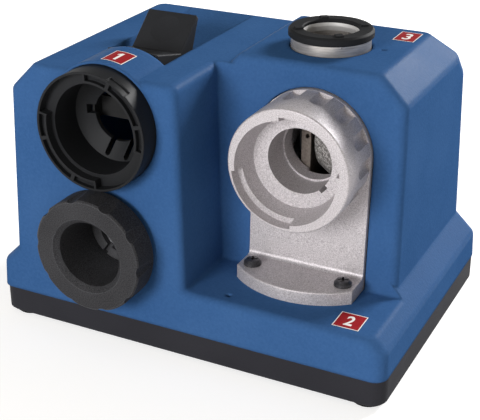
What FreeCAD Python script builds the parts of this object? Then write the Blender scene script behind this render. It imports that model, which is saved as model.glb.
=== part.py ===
import FreeCAD, Part
import math
import os

# Three-station drill bit sharpener: blue moulded housing on a dark base tray.
# Millimetres. While building: X to the right, Y back from the housing's front rim, Z up from the table.
# At the end everything moves back along Y so that the origin is under the middle of the whole object.

V = FreeCAD.Vector
X_AXIS = V(1, 0, 0)
Y_AXIS = V(0, 1, 0)
Z_AXIS = V(0, 0, 1)
REACH = 400.0          # longer than the whole object, for cutting tools

# Housing, outside
housing_half_width = 125.0
housing_depth = 176.0
housing_wall = 3.0
foot_height = 2.5
tray_height = 17.0
shelf_rise = 24.5       # front shelf above the tray's rim
left_top = 164.0        # top of the left column above the table
right_top = 170.0       # top of the right column
side_draft = 1.2        # degrees
front_draft = 2.6       # degrees
skirt_low = 16.5        # lower edge of the sloped skirt above the rim
skirt_run = 12.2        # how far the skirt goes in
skirt_rise = 12.0
skirt_lean = 1.0        # inward lean of the skirt's upright part
top_chamfer = 16.0
back_chamfer = 24.0
right_front = 51.5      # front wall of the right column at shelf height
step_x = 3.2            # right wall of the left column at shelf height
shoulder_x = 10.0       # where the right column's top starts
edge_round = 5.0
corner_round = 10.0
front_corner_round = 8.0
cove_round = 2.0

# Station 1, setting cup
station_x = -47.7       # shared by the cup, the stored chuck and the switch
cup_z = 135.5
cup_radius = 34.3
cup_mouth = 28.2        # inside the raised arcs
cup_bore = 26.2
cup_front = -7.5
cup_depth = 33.0
cup_floor = 3.0
cup_dish = 4.0          # the floor slopes back towards its hole
cup_hole = 15.4
cup_ear_places = (20.0, 160.0, 215.0, 325.0)  # degrees round the cup
cup_ear_reach = 38.7
cup_ear_radius = 4.5
cup_ear = 3.0
cup_ear_y = 10.3       # front of the ears, on the housing's posts
cup_step = 5.5          # how far the ledge lies below the raised arcs
raised_arc = (-12.5, 94.0)  # degrees, and the same again half a turn on
pocket_ribs = (15.0, 65.7)  # degrees, between the three pockets of an arc
pocket_depth = 3.0
pocket_rib = 4.0        # degrees
cup_window = (46.5, 68.5)  # degrees, shallow sunk field on the cup's collar
cup_window_depth = 0.8
cup_window_length = 5.5
cup_slot_turn = 19.0    # degrees that the floor's slots lean
cup_slot_width = 3.0
cup_slots = ((1.0, 25.0), (12.8, 21.8))  # offset from the cup's middle and outer end of each slot
cup_notch_reach = 20.0
cup_notch_height = 5.4
cup_notch_rise = 1.5
stop_gap = 9.0          # depth stop plate behind the cup's floor
stop_overlap = 4.0      # of the strap's feet on the floor beside the hole
stop_height = 12.0
stop_sheet = 1.5
cup_rim_wall = 1.3
cup_screw_grip = 3.0
arch_wall = 1.7         # housing arch outside the cup

# Stored chuck
chuck_z = 64.6
knob_radius = 34.0
knob_front = -18.0
knob_back = -0.4
knob_edge = 1.0
knob_scallops = 10
scallop_first = 4.0     # degrees
scallop_radius = 6.0
scallop_depth = 1.5     # at the face; the scallops run out at the back
knob_mouth = 22.8
knob_bore = 19.8
spigot_radius = 22.6
spigot_length = 28.0
ring_groove = 2.2
ring_groove_width = 1.6
knob_groove_depth = 0.8
chuck_groove_depth = 1.0
ring_slack = 0.2
ring_opening = 8.0
spigot_fit = 0.1
chuck_flange_radius = 25.9
chuck_flange = 34.0
chuck_nose_radius = 17.5
chuck_nose = 18.0
chuck_nose_edge = 2.0
chuck_lug = 3.5
chuck_lug_inset = 1.5
chuck_lug_angle = 30.0  # degrees, half of a lug
collet_face = 17.0
collet_head = 19.6
collet_head_length = 10.0
collet_radius = 13.0
collet_fit = 0.2
collet_travel = 4.0
collet_mouth = 12.8
collet_funnel = 7.0
collet_nose = 4.0
collet_edge = 1.0
collet_notches = 4
collet_notch_first = 35.0  # degrees
collet_notch = 3.0
drill_radius = 6.6
collet_slit = 1.2
collet_jaws = 6

# Station 2, grinding port
bowl_x = 57.0
bowl_z = 121.5
bowl_radius = 35.4
bowl_front = 21.0
bowl_rim = 5.6
bowl_offset = 1.5       # the cast bore lies off centre, down and to the left
bowl_floor = 38.0
bowl_taper = 3.5        # how much the bore narrows to the floor
bowl_throat = 19.0
bowl_flutes = 14
flute_radius = 5.0
flute_depth = 2.6
flute_length = 18.0
cam_slot = (7.0, 97.0)  # degrees, and the same again half a turn on
cam_slot_reach = 2.0    # into the wall from the bore
cam_slot_depth = 7.0
bowl_screw_grip = 8.0
keyway_angle = -44.0    # degrees round the throat
keyway_width = 5.0
keyway_radius = 21.0
bracket_margin = 0.1    # plate beside the bowl
bracket_proud = 2.5     # plate in front of the housing wall
bracket_plate = 5.0
bracket_foot = 8.0
bracket_cove = 3.0
foot_edge = 1.0
foot_bow = 13.5         # bow of the foot's front edge
foot_side = 33.0        # where the bow starts, from the front
bracket_screw_inset = 7.5
bracket_screw_y = 38.0
bracket_boss = 16.0
bush_radius = 22.0
bush_bore = 17.9
bush_end = 67.5
wheel_room = 1.5        # between the wheel and the bush
bowl_screw_reach = 27.0
bowl_screw_places = (90.0, 210.0, 330.0)  # degrees

# Station 3, splitting port
port_x = 50.0
port_y = 95.0
ring_seat = 176.0       # underside of the black ring
ring_radius = 24.4
ring_height = 4.8
ring_bore = 16.0
sleeve_radius = 22.9
sleeve_bore = 19.2
sleeve_length = 16.0
ring_edge = 1.2
ring_spigot = 2.5
ring_lug = 0.8
ring_lugs = 4
ring_lug_first = 35.0   # degrees
ring_lug_length = 4.5
ring_lug_width = 4.4
guide_wall = 2.6
guide_drop = 7.0        # guide flange below the housing's top
guide_flange = 3.0
guide_ear_reach = 31.0
guide_low = 156.0
port_gap = 0.8          # around the sleeve in the housing's top

# Rocker switch
recess_half_width = 22.2
recess_front = 37.0
recess_floor = 152.0
recess_flat = 60.0
rocker_half_width = 16.5
rocker_half_length = 27.0
rocker_valley_y = 66.7
rocker_valley_z = 162.0
rocker_face_slope = 27.0  # degrees, each half
rocker_tilt = 13.0        # degrees at rest
rocker_pivot_drop = 5.0
rocker_skirt = 10.0
rocker_gap = 0.6
rocker_pin_radius = 2.0
rocker_edge = 1.0
dish_radius = 34.0
dish_depth = 1.3
switch_wall = 1.4
switch_depth = 24.0
switch_rim = 3.0        # switch frame above the recess floor
switch_flange = 1.6
switch_fit = 0.2
blade_span_x = 8.0
blade_span_y = 12.0
blade_width = 6.2
blade_sheet = 0.8
blade_length = 9.0

# Motor and wheel
spindle_y = 95.0
spindle_z = 121.5
motor_left = -27.5
motor_right = 34.0
can_radius = 27.0
can_wall = 1.6
bell_length = 4.0
bell_face = 1.0          # wall outside the bearing
bell_spigot = 3.0
bell_spigot_wall = 2.5
bell_boss_wall = 3.0
bell_shaft_gap = 1.5
bell_vents = 6
bell_vent_arc = 22.0     # degrees
shaft_radius = 4.0
bearing_radius = 11.0
bearing_width = 7.0
bearing_ring = 2.0
bearing_shield = 0.5
bearing_shield_slope = 0.4
bearing_fit = 0.02
running_gap = 0.04
wheel_left = 51.7
wheel_right = 66.7
wheel_small_radius = 24.0
wheel_slope = 31.0       # degrees between the cone and the spindle
wheel_grit = 3.0
hub_left = 47.0
hub_boss_radius = 9.0
shaft_end = 74.7
shaft_edge = 0.5
hub_recess = 4.0
washer_radius = 7.5
washer_sheet = 1.6
nut_corner = 7.5
nut_height = 6.5
fan_left = 36.0
fan_width = 8.0
fan_radius = 24.0
fan_hub_radius = 9.0
fan_sheet = 1.5
fan_blade = 1.6
fan_blades = 9
armature_left = -4.0
armature_right = 20.0
magnet_thickness = 4.0
magnet_overhang = 2.0
magnet_arc = 140.0       # degrees
rotor_gap = 0.8
rotor_slots = 12
rotor_slot_depth = 6.0
rotor_slot_arc = 9.0     # degrees
end_turns = 5.0
end_turns_edge = 1.5
commutator_radius = 8.0
commutator_gap = 3.0     # from the rear bearing
brush_gap = 0.3
brush_length = 8.0
brush_width = 3.0
brush_height = 5.0
brush_fit = 0.05
holder_wall = 1.05
holder_setback = 2.0
cradle_left = -26.0
cradle_right = 32.0
cradle_half_depth = 36.0
cradle_seat = 9.0
cradle_floor = 4.0
cradle_web = 5.0
cradle_top = 112.0
cradle_web_inset = 10.0
cradle_waist = 12.0
cradle_ear = 4.0
cradle_rib = 4.0
cradle_rib_drop = 8.0
cradle_screw_inset = 6.0
strap_thickness = 1.2
partition_x = 44.6
partition_sheet = 1.5
partition_front = 69.0
partition_inset = 18.0  # from the housing's back
partition_top = 140.0
partition_foot = 14.0
partition_hole = 12.0
fold_hole = 1.3         # in the fold beside the wheel
fold_hole_z = 123.6

# Back of the housing
gland_inset = 37.0      # from the housing's left side
gland_z = 62.0
gland_radius = 8.0
gland_bore = 3.8
gland_flange_radius = 11.0
gland_flange = 3.0
gland_nose = 6.0
gland_taper = 1.5
gland_thread = 13.0
gland_nut_corner = 11.5
gland_nut_height = 5.0
vent_count = 9
vent_x = -44.0
vent_pitch = 9.0
vent_width = 4.0
vent_z = 70.0
vent_height = 38.0

# Electrical parts on the tray's floor
capacitor_inset_x = 27.0  # from the housing's left side
capacitor_inset_y = 66.0  # from the housing's back
capacitor_length = 28.0
capacitor_width = 14.0
capacitor_height = 22.0
capacitor_edge = 1.5
block_inset_x = 25.0
block_inset_y = 28.0
block_length = 24.0
block_width = 16.0
block_height = 15.0
block_pitch = 12.0
block_wire_radius = 2.0
block_wire_z = 6.0
block_screw_radius = 2.4
block_screw_inset = 4.0
block_screw_z = 6.5

# Base tray
tray_inset = 0.8
tray_wall = 3.0
tray_floor = 3.0
lip_height = 3.0
lip_wall = 1.6
foot_radius = 10.0
foot_inset = 13.0
floor_slots = 7
floor_slot_pitch = 9.0
floor_slot_front = 66.0
floor_slot_length = 34.0
foot_peg_radius = 3.0
foot_peg_end = 1.5       # peg above the tray's floor
foot_edge_in = 1.2
well_ceiling = 14.0
boss_inset = 30.0
boss_front = 7.5
boss_radius = 5.0
boss_height = 26.0
housing_screw_grip = 12.0
pin_hole_x = 27.0       # small hole in the shelf
pin_hole_y = 11.5
pin_hole_radius = 1.6
mark_x = 80.2           # small round mark on the right column's top
mark_y = 99.7
mark_radius = 1.5
mark_depth = 1.5

# Fasteners and small parts
m4_radius = 2.0
m4_head = 3.9
m4_head_height = 3.0
m5_radius = 2.5
m5_head = 5.1
m5_head_height = 3.6
cradle_screw_grip = 5.0
thread_fit = 0.05
hole_fit = 0.1
clearance = 0.3

rim_z = foot_height + tray_height
shelf_z = rim_z + shelf_rise
side_slope = math.tan(math.radians(side_draft))
front_slope = math.tan(math.radians(front_draft))
skirt_low_x = housing_half_width - skirt_lean
skirt_low_z = rim_z + skirt_low
skirt_high_x = skirt_low_x - skirt_run
skirt_high_z = skirt_low_z + skirt_rise
arch_radius = cup_radius + arch_wall
socket_radius = chuck_flange_radius + clearance
chuck_end = chuck_flange + chuck_nose
socket_depth = chuck_end + 2 * housing_wall
head_room = collet_face + collet_head_length + collet_travel + 2 * collet_fit
bowl_bore = bowl_radius - bowl_rim
bowl_floor_radius = bowl_bore - bowl_taper
bracket_half_width = bowl_radius + bracket_margin
bracket_screw_span = bracket_half_width - bracket_screw_inset
partition_back = housing_depth - partition_inset
gland_x = gland_inset - housing_half_width
wheel_face = wheel_right - hub_recess
rotor_radius = can_radius - can_wall - magnet_thickness - rotor_gap
commutator_left = motor_left + bell_face + bearing_width + commutator_gap
commutator_right = armature_left - end_turns
brush_x = (commutator_left + commutator_right) / 2
brush_end = commutator_radius + brush_gap
switch_half_width = rocker_half_width + rocker_gap + switch_wall
switch_front = recess_front + switch_flange + 2 * clearance
switch_back = recess_front + recess_flat - switch_flange - 2 * clearance


def box(x0, x1, y0, y1, z0, z1):
    """Block between two corners."""
    return Part.makeBox(x1 - x0, y1 - y0, z1 - z0, V(x0, y0, z0))


def rod(radius, start, axis, length):
    """Round bar from a start point along an axis."""
    return Part.makeCylinder(radius, length, start, axis)


def tube(outer, inner, start, axis, length):
    """Round bar with a bore right through."""
    return rod(outer, start, axis, length).cut(rod(inner, start, axis, length))


def plate_y(points, y0, y1):
    """Front-view outline (x, z) given a thickness along Y."""
    loop = [V(x, y0, z) for x, z in points + points[:1]]
    return Part.Face(Part.makePolygon(loop)).extrude(V(0, y1 - y0, 0))


def plate_x(points, x0, x1):
    """Side-view outline (y, z) given a thickness along X."""
    loop = [V(x0, y, z) for y, z in points + points[:1]]
    return Part.Face(Part.makePolygon(loop)).extrude(V(x1 - x0, 0, 0))


def turned(points, centre, axis):
    """Profile (radius, distance along the axis) turned once round the axis."""
    side = Z_AXIS if abs(axis.z) < 0.5 else X_AXIS
    loop = [centre + side * r + axis * s for r, s in points + points[:1]]
    return Part.Face(Part.makePolygon(loop)).revolve(centre, axis, 360)


def sector_y(r_in, r_out, angles, y0, y1, centre_x, centre_z):
    """Piece of a ring about a Y axis, between two angles from +X towards +Z."""
    def at(radius, degrees):
        a = math.radians(degrees)
        return V(centre_x + radius * math.cos(a), y0, centre_z + radius * math.sin(a))
    first, last = angles
    middle = (first + last) / 2
    outer = Part.Arc(at(r_out, first), at(r_out, middle), at(r_out, last)).toShape()
    inner = Part.Arc(at(r_in, last), at(r_in, middle), at(r_in, first)).toShape()
    sides = [Part.makeLine(at(r_out, last), at(r_in, last)), Part.makeLine(at(r_in, first), at(r_out, first))]
    return Part.Face(Part.Wire([outer, sides[0], inner, sides[1]])).extrude(V(0, y1 - y0, 0))


def around(shape, count, centre, axis, first=0.0):
    """Copies of a shape spaced evenly round an axis."""
    copies = []
    for k in range(count):
        copy = shape.copy()
        copy.rotate(centre, axis, first + 360.0 * k / count)
        copies.append(copy)
    return copies


def inset(points, amount):
    """Anticlockwise outline moved inwards by the same amount on every side."""
    lines = []
    for (x0, z0), (x1, z1) in zip(points, points[1:] + points[:1]):
        length = math.hypot(x1 - x0, z1 - z0)
        ux, uz = (x1 - x0) / length, (z1 - z0) / length
        lines.append((x0 - uz * amount, z0 + ux * amount, ux, uz))
    moved = []
    for (ax, az, aux, auz), (bx, bz, bux, buz) in zip(lines[-1:] + lines[:-1], lines):
        along = ((bx - ax) * buz - (bz - az) * bux) / (aux * buz - auz * bux)
        moved.append((ax + aux * along, az + auz * along))
    return moved


def is_convex(shape, edge):
    """True where the two faces of an edge turn away from each other."""
    middle = edge.valueAt((edge.FirstParameter + edge.LastParameter) / 2)
    normals = []
    for face in shape.ancestorsOfType(edge, Part.Face):
        u, v = face.Surface.parameter(middle)
        normals.append(face.normalAt(u, v))
    return not shape.isInside(middle + (normals[1] - normals[0]) * 0.05, 0.001, True)


def skirt_x(z):
    """Half width on the sloped skirt at a height."""
    return skirt_high_x + (skirt_high_z - z) * skirt_run / skirt_rise


def wall_x(z):
    """Half width on the drafted side walls at a height."""
    return skirt_high_x - (z - skirt_high_z) * side_slope


def step_wall_x(z):
    """Right wall of the left column at a height."""
    return step_x - (z - shelf_z) * front_slope


def front_y(z):
    """Front wall of the left column and the plinth at a height."""
    return (z - rim_z) * front_slope


def right_front_y(z):
    """Front wall of the right column at a height."""
    return right_front + (z - shelf_z) * front_slope


def back_y(z):
    """Back wall at a height."""
    return housing_depth - (z - rim_z) * front_slope


def before(wall_y, offset):
    """Everything in front of a drafted wall, moved back by an offset."""
    return plate_x([(-REACH, 0), (wall_y(0) + offset, 0), (wall_y(REACH) + offset, REACH), (-REACH, REACH)],
                   -REACH, REACH)


def behind(wall_y, offset):
    """Everything behind a drafted wall, moved forward by an offset."""
    return plate_x([(wall_y(0) - offset, 0), (REACH, 0), (REACH, REACH), (wall_y(REACH) - offset, REACH)],
                   -REACH, REACH)


def housing_blank(wall):
    """Sharp-edged body of the housing, every face moved in by a wall."""
    low = rim_z - 10.0
    left_shoulder = left_top - top_chamfer
    right_shoulder = right_top - top_chamfer
    left = [(-housing_half_width, low), (step_wall_x(low), low), (step_wall_x(left_top), left_top),
            (-wall_x(left_shoulder) + top_chamfer, left_top), (-wall_x(left_shoulder), left_shoulder),
            (-skirt_high_x, skirt_high_z), (-skirt_low_x, skirt_low_z)]
    overlap_x = step_wall_x(left_top) - 8.0
    right = [(overlap_x, low), (housing_half_width, low), (skirt_low_x, skirt_low_z),
             (skirt_high_x, skirt_high_z), (wall_x(right_shoulder), right_shoulder),
             (wall_x(right_shoulder) - top_chamfer, right_top), (shoulder_x, right_top),
             (shoulder_x - (right_top - left_top), left_top), (overlap_x, left_top)]
    plinth = [(overlap_x, low), (housing_half_width, low), (skirt_low_x, skirt_low_z),
              (skirt_x(shelf_z), shelf_z), (overlap_x, shelf_z)]
    if wall > 0:
        overlap = plate_y([(overlap_x - 3 * wall, low + wall), (overlap_x + 2 * wall, low + wall),
                           (overlap_x + 2 * wall, left_top - wall), (overlap_x - 3 * wall, left_top - wall)],
                          -REACH / 2, REACH).cut(before(right_front_y, wall))
        shelf_overlap = plate_y([(overlap_x - 3 * wall, low + wall), (overlap_x + 2 * wall, low + wall),
                                 (overlap_x + 2 * wall, shelf_z - wall),
                                 (overlap_x - 3 * wall, shelf_z - wall)], -REACH / 2, REACH)
        bridges = [overlap, shelf_overlap]
    else:
        bridges = []
    column = plate_y(inset(right, wall), -REACH / 2, REACH).cut(before(right_front_y, wall))
    blank = plate_y(inset(left, wall), -REACH / 2, REACH)
    blank = blank.fuse([column, plate_y(inset(plinth, wall), -REACH / 2, REACH)] + bridges)
    blank = blank.cut(before(front_y, wall)).cut(behind(back_y, wall))
    chamfer_y = back_y(right_top) - back_chamfer - wall * math.tan(math.radians(22.5))
    chamfer_z = right_top - wall
    blank = blank.cut(plate_x([(chamfer_y, chamfer_z), (REACH, chamfer_z),
                               (REACH, chamfer_z - REACH + chamfer_y)],
                              -REACH, REACH))
    return blank.removeSplitter()


def back_corner_edges(blank, wall):
    """Upright edges of the two back corners, from the rim to the top."""
    limit = back_y(right_top) - back_chamfer - wall - 1.0
    edges = []
    for edge in blank.Edges:
        low, high = edge.Vertexes[0].Point, edge.Vertexes[-1].Point
        upright = abs(high.z - low.z) > abs(high.y - low.y) * 0.9
        if upright and min(low.y, high.y) > limit and abs(low.x) > housing_half_width / 2:
            edges.append(edge)
    return edges


def front_corner_edges(blank):
    """Upright and sloped edges of the two front corners, from the rim to the skirt's top."""
    edges = []
    for edge in blank.Edges:
        low, high = edge.Vertexes[0].Point, edge.Vertexes[-1].Point
        upright = abs(high.z - low.z) > max(2 * abs(high.y - low.y), edge_round)
        outside = abs(low.x) > skirt_high_x - 1.0 and abs(high.x) > skirt_high_x - 1.0
        near = max(low.y, high.y) < edge_round and max(low.z, high.z) < skirt_high_z + 1.0
        if upright and outside and near:
            edges.append(edge)
    return edges


def inner_front_edges(blank):
    """The same front corner edges on the hollow inside."""
    limit = skirt_high_x - 2 * housing_wall
    edges = []
    for edge in blank.Edges:
        low, high = edge.Vertexes[0].Point, edge.Vertexes[-1].Point
        upright = abs(high.z - low.z) > max(2 * abs(high.y - low.y), edge_round)
        near = max(low.y, high.y) < edge_round + housing_wall and max(low.z, high.z) < skirt_high_z
        if upright and near and min(abs(low.x), abs(high.x)) > limit:
            edges.append(edge)
    return edges


def cove_edges(blank):
    """The three inner edges that meet where both columns stand on the shelf."""
    corner = V(step_x, right_front, shelf_z)
    return [e for e in blank.Edges if min(v.Point.distanceToPoint(corner) for v in e.Vertexes) < 0.05]


def recess_tool(wall):
    """Sunk channel behind the arch that holds the switch, made larger by a wall."""
    half = recess_half_width + wall
    floor = recess_floor - wall
    flat_end = recess_front + recess_flat
    ramp_end = back_y(right_top) - back_chamfer + (right_top - left_top)
    profile = [(recess_front - wall, REACH), (recess_front - wall, floor), (flat_end, floor),
               (ramp_end, left_top - wall), (ramp_end, REACH)]
    return plate_x(profile, station_x - half, station_x + half)


def bracket_outline(grow):
    """Front view of the bracket's plate, an upright with a round top, grown by a margin."""
    half = bracket_half_width + grow
    left, right, low = bowl_x - half, bowl_x + half, shelf_z
    arc = Part.Arc(V(right, 0, bowl_z), V(bowl_x, 0, bowl_z + half), V(left, 0, bowl_z)).toShape()
    sides = [Part.makeLine(V(left, 0, bowl_z), V(left, 0, low)),
             Part.makeLine(V(left, 0, low), V(right, 0, low)),
             Part.makeLine(V(right, 0, low), V(right, 0, bowl_z))]
    return Part.Face(Part.Wire([arc] + sides))


def housing_boss_places():
    """Where the screws come up through the base tray."""
    side = housing_half_width - boss_inset
    front, back = boss_front, housing_depth - boss_front
    return [(-side, front), (side, front), (-side, back), (side, back), (0.0, front)]


def cup_ear_points(y):
    """Centres of the cup's screw ears at a depth."""
    points = []
    for degrees in cup_ear_places:
        a = math.radians(degrees)
        points.append(V(station_x + cup_ear_reach * math.cos(a), y, cup_z + cup_ear_reach * math.sin(a)))
    return points


def port_ear_points(z):
    """Centres of the sleeve guide's screw ears at a height."""
    points = []
    for degrees in (90.0, 210.0, 330.0):
        a = math.radians(degrees)
        points.append(V(port_x + guide_ear_reach * math.cos(a), port_y + guide_ear_reach * math.sin(a), z))
    return points


def bracket_screw_points(z):
    """Centres of the two bracket screws at a height."""
    return [V(bowl_x + side * bracket_screw_span, bracket_screw_y, z) for side in (-1, 1)]


def upper_housing():
    """Moulded shell with both columns, the switch recess and the three ports."""
    outer = housing_blank(0)
    outer = outer.cut(box(-REACH, REACH, -REACH, REACH, 0, rim_z))
    outer = outer.makeFillet(corner_round, back_corner_edges(outer, 0))
    outer = outer.makeFillet(front_corner_round, front_corner_edges(outer))
    top_back = back_y(left_top) - back_chamfer
    rounds = [e for e in outer.Edges if e.BoundBox.ZMax > rim_z + 0.1 and e.BoundBox.YMin < top_back
              and e.Length > edge_round * 1.6 and is_convex(outer, e)]
    outer = outer.makeFillet(edge_round, rounds)
    outer = outer.makeFillet(cove_round, cove_edges(outer))
    arch = rod(arch_radius, V(station_x, -REACH / 4, cup_z), Y_AXIS, REACH / 4 + recess_front)
    outer = outer.fuse(arch.cut(before(front_y, 0))).removeSplitter()
    outer = outer.cut(recess_tool(0))
    inner = housing_blank(housing_wall)
    inner = inner.makeFillet(corner_round - housing_wall, back_corner_edges(inner, housing_wall))
    inner = inner.makeFillet(front_corner_round - housing_wall, inner_front_edges(inner))
    inner = inner.cut(recess_tool(housing_wall))
    shell = outer.cut(inner)

    half_wall = housing_wall / 2
    socket = rod(socket_radius + housing_wall, V(station_x, 0, chuck_z), Y_AXIS, socket_depth)
    added = [socket.cut(before(front_y, half_wall))]
    for x, y in housing_boss_places():
        added.append(rod(boss_radius, V(x, y, rim_z), Z_AXIS, boss_height).common(outer))
    for place in bracket_screw_points(shelf_z - bracket_boss):
        added.append(rod(boss_radius, place, Z_AXIS, bracket_boss - half_wall))
    for place in cup_ear_points(0.0):
        added.append(rod(cup_ear_radius, place, Y_AXIS, cup_ear_y).cut(before(front_y, half_wall)))
    for place in port_ear_points(right_top - guide_drop):
        added.append(rod(boss_radius, place, Z_AXIS, guide_drop - half_wall))
    shell = shell.fuse(added).removeSplitter()

    cuts = [rod(cup_radius + clearance, V(station_x, -REACH / 4, cup_z), Y_AXIS,
                REACH / 4 + recess_front - housing_wall),
            rod(socket_radius, V(station_x, -REACH / 4, chuck_z), Y_AXIS,
                REACH / 4 + socket_depth - housing_wall),
            rod(sleeve_radius + port_gap, V(port_x, port_y, left_top - guide_drop), Z_AXIS, REACH / 4),
            rod(bowl_screw_reach + m4_head + 1.0, V(bowl_x, right_front - 8.0, bowl_z), Y_AXIS, 24.0),
            box(station_x - switch_half_width - switch_fit, station_x + switch_half_width + switch_fit,
                switch_front - switch_fit, switch_back + switch_fit, recess_floor - 2 * housing_wall,
                recess_floor + 1.0),
            rod(gland_radius + hole_fit, V(gland_x, housing_depth - 20.0, gland_z), Y_AXIS, 40.0),
            rod(pin_hole_radius, V(pin_hole_x, pin_hole_y, shelf_z - 2 * housing_wall), Z_AXIS,
                3 * housing_wall),
            rod(mark_radius, V(mark_x, mark_y, right_top - mark_depth), Z_AXIS, housing_wall)]
    pocket = bracket_outline(clearance * 2).extrude(V(0, REACH / 4, 0))
    cuts.append(pocket.cut(behind(right_front_y, bracket_proud - bracket_plate)))
    for x, y in housing_boss_places():
        cuts.append(rod(m4_radius + thread_fit, V(x, y, rim_z - 1.0), Z_AXIS, housing_screw_grip + 1.5))
    for place in bracket_screw_points(shelf_z - bracket_boss + 2.0):
        cuts.append(rod(m5_radius + thread_fit, place, Z_AXIS, bracket_boss + 2.0))
    for place in cup_ear_points(cup_ear_y - cup_screw_grip - 0.2):
        cuts.append(rod(m4_radius + thread_fit, place, Y_AXIS, cup_screw_grip + 1.0))
    for place in port_ear_points(right_top - guide_drop - 1.0):
        cuts.append(rod(m4_radius + thread_fit, place, Z_AXIS, guide_drop - 1.0))
    for k in range(vent_count):
        x = vent_x + k * vent_pitch
        cuts.append(box(x, x + vent_width, back_y(vent_z) - 12.0, back_y(vent_z) + 12.0,
                        vent_z, vent_z + vent_height))
    return shell.cut(cuts)


def base_tray():
    """Shallow moulded tray with a locating lip, screw wells and air slots."""
    half = housing_half_width - tray_inset
    front, back = tray_inset, housing_depth - tray_inset
    block = box(-half, half, front, back, foot_height, rim_z)
    uprights = [e for e in block.Edges if abs(e.Vertexes[0].Z - e.Vertexes[1].Z) > 1]
    block = block.makeFillet(corner_round - tray_inset, uprights)
    under = [e for e in block.Edges if e.BoundBox.ZMax < foot_height + 0.1]
    block = block.makeChamfer(tray_floor / 2, under)
    well = box(-half + tray_wall, half - tray_wall, front + tray_wall, back - tray_wall,
               foot_height + tray_floor, rim_z + 1.0)
    tray = block.cut(well)
    lip_x = housing_half_width - skirt_lean - housing_wall - clearance
    lip_y = housing_wall + 2 * clearance
    lip = box(-lip_x, lip_x, lip_y, housing_depth - lip_y, rim_z - lip_height, rim_z + lip_height)
    lip = lip.cut(box(-lip_x + lip_wall, lip_x - lip_wall, lip_y + lip_wall, housing_depth - lip_y - lip_wall,
                      rim_z - 2 * lip_height, rim_z + 2 * lip_height))
    for x, y in housing_boss_places():
        lip = lip.cut(rod(boss_radius + 2 * clearance, V(x, y, rim_z - 2 * lip_height), Z_AXIS,
                          4 * lip_height))
    corner = corner_round + 1.0
    for x in (-lip_x, lip_x - corner):
        for y in (lip_y, housing_depth - lip_y - corner):
            lip = lip.cut(box(x, x + corner, y, y + corner, rim_z - lip_height, REACH))
    wells = [rod(boss_radius, V(x, y, foot_height), Z_AXIS, tray_height) for x, y in housing_boss_places()]
    pads = [rod(boss_radius, V(x, y, foot_height), Z_AXIS, cradle_seat - foot_height)
            for x, y in cradle_screw_places()]
    tray = tray.fuse([lip] + wells + pads).removeSplitter()
    cuts = []
    for x, y in housing_boss_places():
        cuts.append(rod(m4_head + clearance, V(x, y, 0), Z_AXIS, well_ceiling))
        cuts.append(rod(m4_radius + hole_fit, V(x, y, 0), Z_AXIS, rim_z + 1.0))
    for x, y in cradle_screw_places():
        hole_end = V(x, y, cradle_seat - cradle_screw_grip - clearance)
        cuts.append(rod(m4_radius + thread_fit, hole_end, Z_AXIS, REACH))
    for x, y in foot_places():
        cuts.append(rod(foot_peg_radius + thread_fit, V(x, y, 0), Z_AXIS, foot_height + tray_floor + 1.0))
    for k in range(floor_slots):
        y = floor_slot_front + k * floor_slot_pitch
        cuts.append(box(-floor_slot_length / 2, floor_slot_length / 2, y, y + vent_width, 0,
                        foot_height + 2 * tray_floor))
    return tray.cut(cuts)


def foot_places():
    """Centres of the four rubber feet."""
    side = housing_half_width - foot_inset
    return [(x, y) for x in (-side, side) for y in (foot_inset, housing_depth - foot_inset)]


def rubber_feet():
    """Four round feet, each with a peg pressed into the tray's floor."""
    peg_top = foot_height + tray_floor + foot_peg_end
    profile = [(0, 0), (foot_radius - foot_edge_in, 0), (foot_radius, foot_height / 2),
               (foot_radius, foot_height), (foot_peg_radius, foot_height), (foot_peg_radius, peg_top),
               (0, peg_top)]
    return Part.makeCompound([turned(profile, V(x, y, 0), Z_AXIS) for x, y in foot_places()])


def screw(seat, axis, radius, head, grip, head_height):
    """Pan-head screw: head outside the seat, shank going the other way along the axis."""
    profile = [(0, -grip), (radius, -grip), (radius, 0), (head, 0), (head, head_height * 0.45),
               (head * 0.72, head_height * 0.9), (head * 0.3, head_height), (0, head_height)]
    return turned(profile, seat, axis)


def housing_screws():
    """Screws that come up through the tray into the housing's posts."""
    grip = rim_z - well_ceiling + housing_screw_grip
    return Part.makeCompound([screw(V(x, y, well_ceiling), V(0, 0, -1), m4_radius, m4_head, grip,
                                    m4_head_height) for x, y in housing_boss_places()])


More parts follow.
